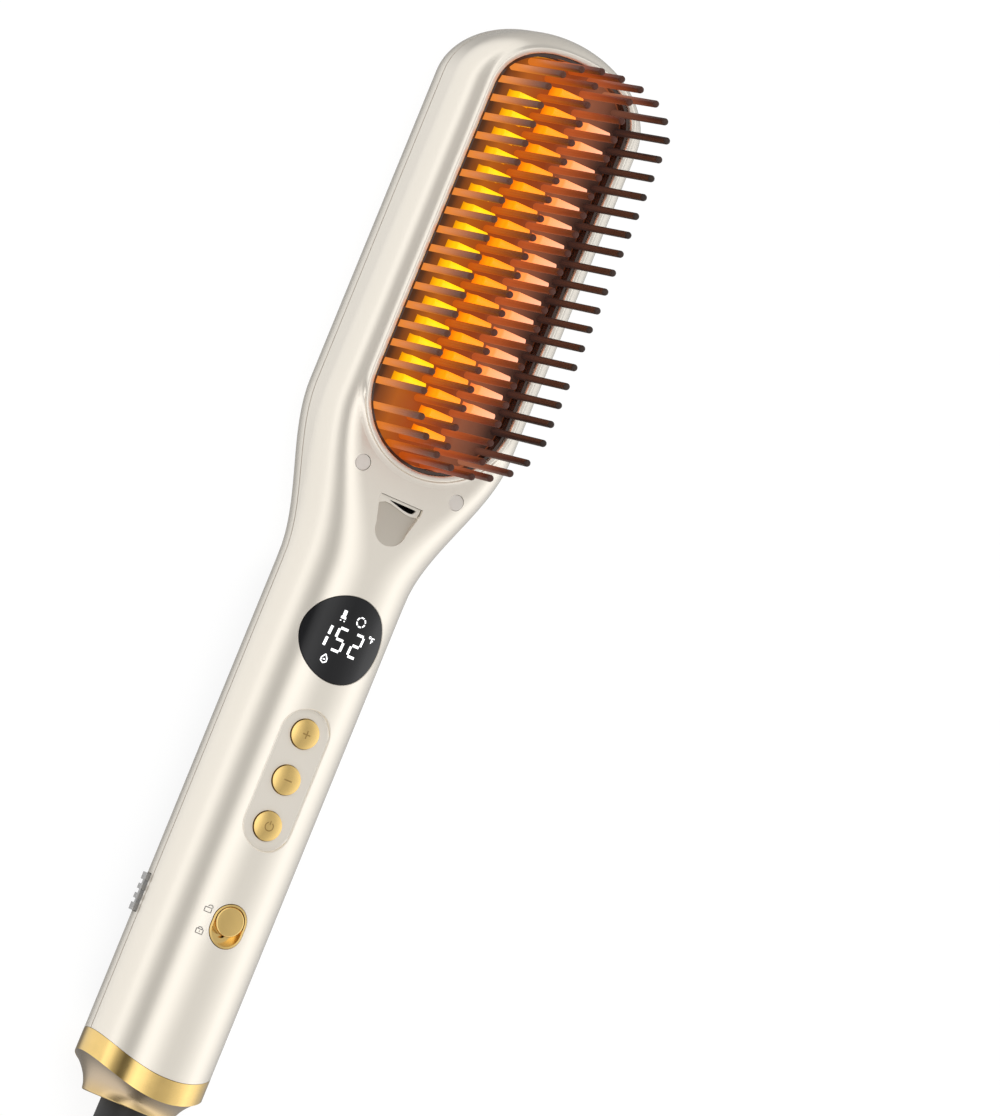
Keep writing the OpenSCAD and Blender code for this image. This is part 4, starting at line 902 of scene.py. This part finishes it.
def lathe(name, x, s, profile):
    """A turned piece standing up at (x, s); the profile is (radius, height) and ends on the axis."""
    n = 72
    points = [(x + r * math.cos(2 * math.pi * i / n), s + r * math.sin(2 * math.pi * i / n), z)
              for r, z in profile[:-1] for i in range(n)] + [(x, s, profile[-1][1])]
    last = (len(profile) - 2) * n
    faces = [(j * n + i, j * n + (i + 1) % n, (j + 1) * n + (i + 1) % n, (j + 1) * n + i)
             for j in range(len(profile) - 2) for i in range(n)]
    faces += [(last + i, last + (i + 1) % n, len(points) - 1) for i in range(n)] + [tuple(range(n - 1, -1, -1))]
    piece = mesh_object(name, points, faces, True)
    piece.data.set_sharp_from_angle(angle=math.radians(40))
    return piece


def ring(x, s, r, a0=0, a1=360, n=16):
    closed = a1 - a0 == 360
    m = n if closed else n + 1
    return [(x + r * math.cos(math.radians(a0 + (a1 - a0) * i / n)),
             s + r * math.sin(math.radians(a0 + (a1 - a0) * i / n))) for i in range(m)]


FINE_LIFT = 0.012     # how far a print stands over its surface
BUTTON_R, BUTTON_RISE = 3.9, 0.8
SEGMENTS = {"a": ((-1.05, 3.05), (1.05, 3.05)), "g": ((-1.0, 0), (1.0, 0)), "d": ((-1.05, -3.05), (1.05, -3.05)),
            "f": ((-1.3, 2.75), (-1.3, 0.4)), "b": ((1.3, 2.75), (1.3, 0.4)),
            "e": ((-1.3, -0.4), (-1.3, -2.75)), "c": ((1.3, -0.4), (1.3, -2.75))}


def round_skin(x, _):
    """Height of the round handle over the parting plane."""
    return math.sqrt(HANDLE_R ** 2 - x * x)


def make_display():
    """Three digits, the two icons over them, the unit beside them and the drop below."""
    y, shift, thick = DISPLAY_Y, -1.0, 0.68
    strokes = [([(x + px + 0.06 * ps, y - 0.4 + ps) for px, ps in SEGMENTS[part]], thick, False)
               for x, parts in ((-5.2, "bc"), (-0.6, "afgcd"), (4.4, "abged")) for part in parts]
    strokes += [([(-1.9, y + 7.3), (-1.9, y + 5.2)], 0.9, False), ([(-2.6, y + 5.3), (-1.2, y + 5.3)], 0.6, False),
                ([(-2.4, y + 4.6), (-2.4, y + 4.3)], 0.35, False), ([(-1.4, y + 4.6), (-1.4, y + 4.3)], 0.35, False)]
    strokes += [(ring(3.2, y + 5.9, 1.25, 60 * k + 8, 60 * k + 52, 5), 0.38, False) for k in range(6)]
    strokes += [(ring(7.7, y + 3.3, 0.32, n=8), 0.2, True), ([(8.5, y + 1.9), (8.5, y + 3.4)], 0.34, False),
                ([(8.5, y + 3.3), (9.4, y + 3.3)], 0.3, False), ([(8.5, y + 2.6), (9.1, y + 2.6)], 0.3, False)]
    strokes += [([(-2.6, y - 5.1), (-1.85, y - 6.2), (-1.85, y - 7.0), (-2.6, y - 7.5), (-3.35, y - 7.0),
                  (-3.35, y - 6.2)], 0.3, True), ([(-2.9, y - 6.5), (-2.3, y - 6.5)], 0.35, False)]
    strokes = [([(x + shift, s) for x, s in line], width, closed) for line, width, closed in strokes]
    marks("display_digits", strokes, round_skin, WHITE_LIT, "housing")


def make_padlocks():
    """The open and the shut padlock beside the slide switch."""
    x, opened, shut = -6.7, 55.4, 49.4
    lines = []
    for s, gap in ((opened, 0.55), (shut, 0.0)):
        lines += [([(x - 0.85, s - 0.9), (x + 0.85, s - 0.9), (x + 0.85, s + 0.3), (x - 0.85, s + 0.3)], 0.24, True),
                  (ring(x + gap * 0.7, s + 0.3 + gap * 0.4, 0.58, -10 if gap else 0, 170 if gap else 180, 10),
                   0.24, False)]
    lines.append(([(x, shut - 0.1), (x, shut - 0.5)], 0.2, False))
    marks("switch_marks", lines, FRONT.height, PRINT, "housing", FINE_LIFT)


def make_button_marks():
    """Power, minus and plus, each lying on its button's dome."""
    dome = (BUTTON_R ** 2 + BUTTON_RISE ** 2) / (2 * BUTTON_RISE)
    for i, body in enumerate(("button_power", "button_less", "button_more")):
        mid = BUTTON_Y + i * BUTTON_PITCH

        def top(px, ps, mid=mid):
            return HANDLE_R - 0.2 - dome + math.sqrt(dome ** 2 - px * px - (ps - mid) ** 2)

        bar = ([(-1.1, mid), (1.1, mid)], 0.34, False)
        signs = [[(ring(0, mid, 1.15, 120, 420, 18), 0.3, False), ([(0, mid + 1.5), (0, mid + 0.5)], 0.3, False)],
                 [bar],
                 [bar, ([(0, mid - 1.1), (0, mid - 0.2)], 0.34, False),
                  ([(0, mid + 0.2), (0, mid + 1.1)], 0.34, False)]]
        marks(body + "_mark", signs[i], top, MARK_GOLD, body, FINE_LIFT)


def make_tank_lines():
    """The lid's seam, the stepped foot line, and the rings and cross screw seen through the tank, drawn as painted
    highlights and painted shadows.
    """
    y, half_w = TANK_Y, TANK_W / 2 - 0.6
    seam, foot, screw = y + 16.6, y + 103.6, y + 94.6
    across = [(-half_w + 2 * half_w * i / 24, seam) for i in range(25)]
    step = [(-half_w, foot + 1.6), (-3.0, foot + 1.6), (-2.2, foot), (2.0, foot), (2.8, foot + 1.2),
            (half_w, foot + 1.2)]
    light = [(across, 0.35, False), ([(x, s + 0.4) for x, s in step], 0.3, False),
             (ring(8.4, y + 11.5, 1.5, n=24), 0.2, True), (ring(-8.4, y + 11.5, 1.5, n=24), 0.2, True),
             (ring(0, screw, 2.3, n=32), 0.22, True), (ring(0, y + 79.8, 1.4, n=24), 0.16, True)]
    dark = [([(x, s - 0.35) for x, s in across], 0.3, False), (step, 0.4, False),
            ([(-1.2, screw), (1.2, screw)], 0.5, False), ([(0, y + 93.4), (0, y + 94.3)], 0.5, False),
            ([(0, y + 94.9), (0, y + 95.8)], 0.5, False), ([(-9.5, y + 5.6), (9.5, y + 5.6)], 0.3, False)]
    for name, lines, mat in (("tank_edge_highlights", light, TANK_HIGHLIGHT), ("tank_shadows", dark, TANK_SHADE)):
        marks(name, lines, round_skin, mat, "tank", 0.015, -1)


def make_switch():
    """The knob's rounded cap, and the shutter that moves with it under the well."""
    y, half, wide = SWITCH_Y + 1.25, 5.2, 3.3
    shutter = mesh_object("switch_shutter", *prism(rectangle(-wide, wide, y - half, y + half), 12.8, 13.1))
    cap = lathe("knob_cap", 0, y, [(3.9, 15.2), (3.97, 15.3), (3.97, 17.15), (3.9, 17.36), (3.74, 17.48),
                                   (3.5, 17.53), (0, 17.53)])
    for piece in (shutter, cap):
        piece.data.materials.append(GOLD)
        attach(piece, "switch_knob")


make_display()
make_padlocks()
make_button_marks()
make_tank_lines()
make_switch()


# ---------------------------------------------------------------- studio
FLOOR_SIZE, FLOOR_SHADE, FLOOR_LIGHT = 12, 0.14, 0.88
WORLD_LIGHT, KEY_LIGHT = 1.9, 5
# softboxes and flags round the brush: angle from overhead towards +X in degrees, brightness
BANDS = [(-180, 0.12), (-173, 0.14), (-156, 0.46), (-138, 0.54), (-97, 0.55), (-92, 0.8), (-80, 0.62),
         (-70, 0.28), (-57, 0.07), (-46, 0.10), (-38, 0.6), (-28, 0.85), (-16, 0.72), (0, 0.42), (16, 0.30),
         (36, 0.36), (58, 0.55), (76, 0.80), (96, 0.60), (112, 0.36), (140, 0.18), (180, 0.12)]


def make_floor():
    bpy.ops.mesh.primitive_plane_add(size=FLOOR_SIZE, location=(0, 0, 0))
    floor = bpy.context.object
    floor.name = "floor"
    mat = bpy.data.materials.new("floor")
    _, bsdf = links(mat)
    bsdf.inputs["Base Color"].default_value = (FLOOR_SHADE, FLOOR_SHADE, FLOOR_SHADE, 1)
    bsdf.inputs["Roughness"].default_value = 0.9
    bsdf.inputs["Specular IOR Level"].default_value = 0.0
    bsdf.inputs["Emission Color"].default_value = (1, 1, 1, 1)
    bsdf.inputs["Emission Strength"].default_value = FLOOR_LIGHT
    floor.data.materials.append(mat)
    floor.visible_glossy = False


def make_studio():
    scene = bpy.context.scene
    scene.view_settings.view_transform = "Standard"
    scene.view_settings.look = "None"
    make_floor()

    world = bpy.data.worlds.new("studio")
    scene.world = world
    world.use_nodes = True
    tree = world.node_tree
    back = tree.nodes["Background"]
    coords = node(tree, "ShaderNodeTexCoord")
    split = node(tree, "ShaderNodeSeparateXYZ")
    turn = node(tree, "ShaderNodeMath", operation="ARCTAN2")
    span = node(tree, "ShaderNodeMapRange")
    span.inputs["From Min"].default_value = -math.pi
    span.inputs["From Max"].default_value = math.pi
    ramp = node(tree, "ShaderNodeValToRGB")
    tree.links.new(coords.outputs["Generated"], split.inputs["Vector"])
    tree.links.new(split.outputs["X"], turn.inputs[0])
    tree.links.new(split.outputs["Z"], turn.inputs[1])
    tree.links.new(turn.outputs["Value"], span.inputs["Value"])
    tree.links.new(span.outputs["Result"], ramp.inputs["Fac"])
    tree.links.new(ramp.outputs["Color"], back.inputs["Color"])
    fill_ramp(ramp, [(angle, (value, value, value)) for angle, value in BANDS], -180, 180)
    back.inputs["Strength"].default_value = WORLD_LIGHT

    light = bpy.data.lights.new("key", "AREA")
    light.shape = "RECTANGLE"
    light.size, light.size_y = 0.5, 1.4
    light.energy = KEY_LIGHT
    key = bpy.data.objects.new("key", light)
    scene.collection.objects.link(key)
    key.location = (-0.35, 0.3, 1.3)
    key.visible_glossy = False
    key.rotation_euler = (Vector((0, 0.02, 0)) - key.location).to_track_quat("-Z", "Y").to_euler()


make_studio()
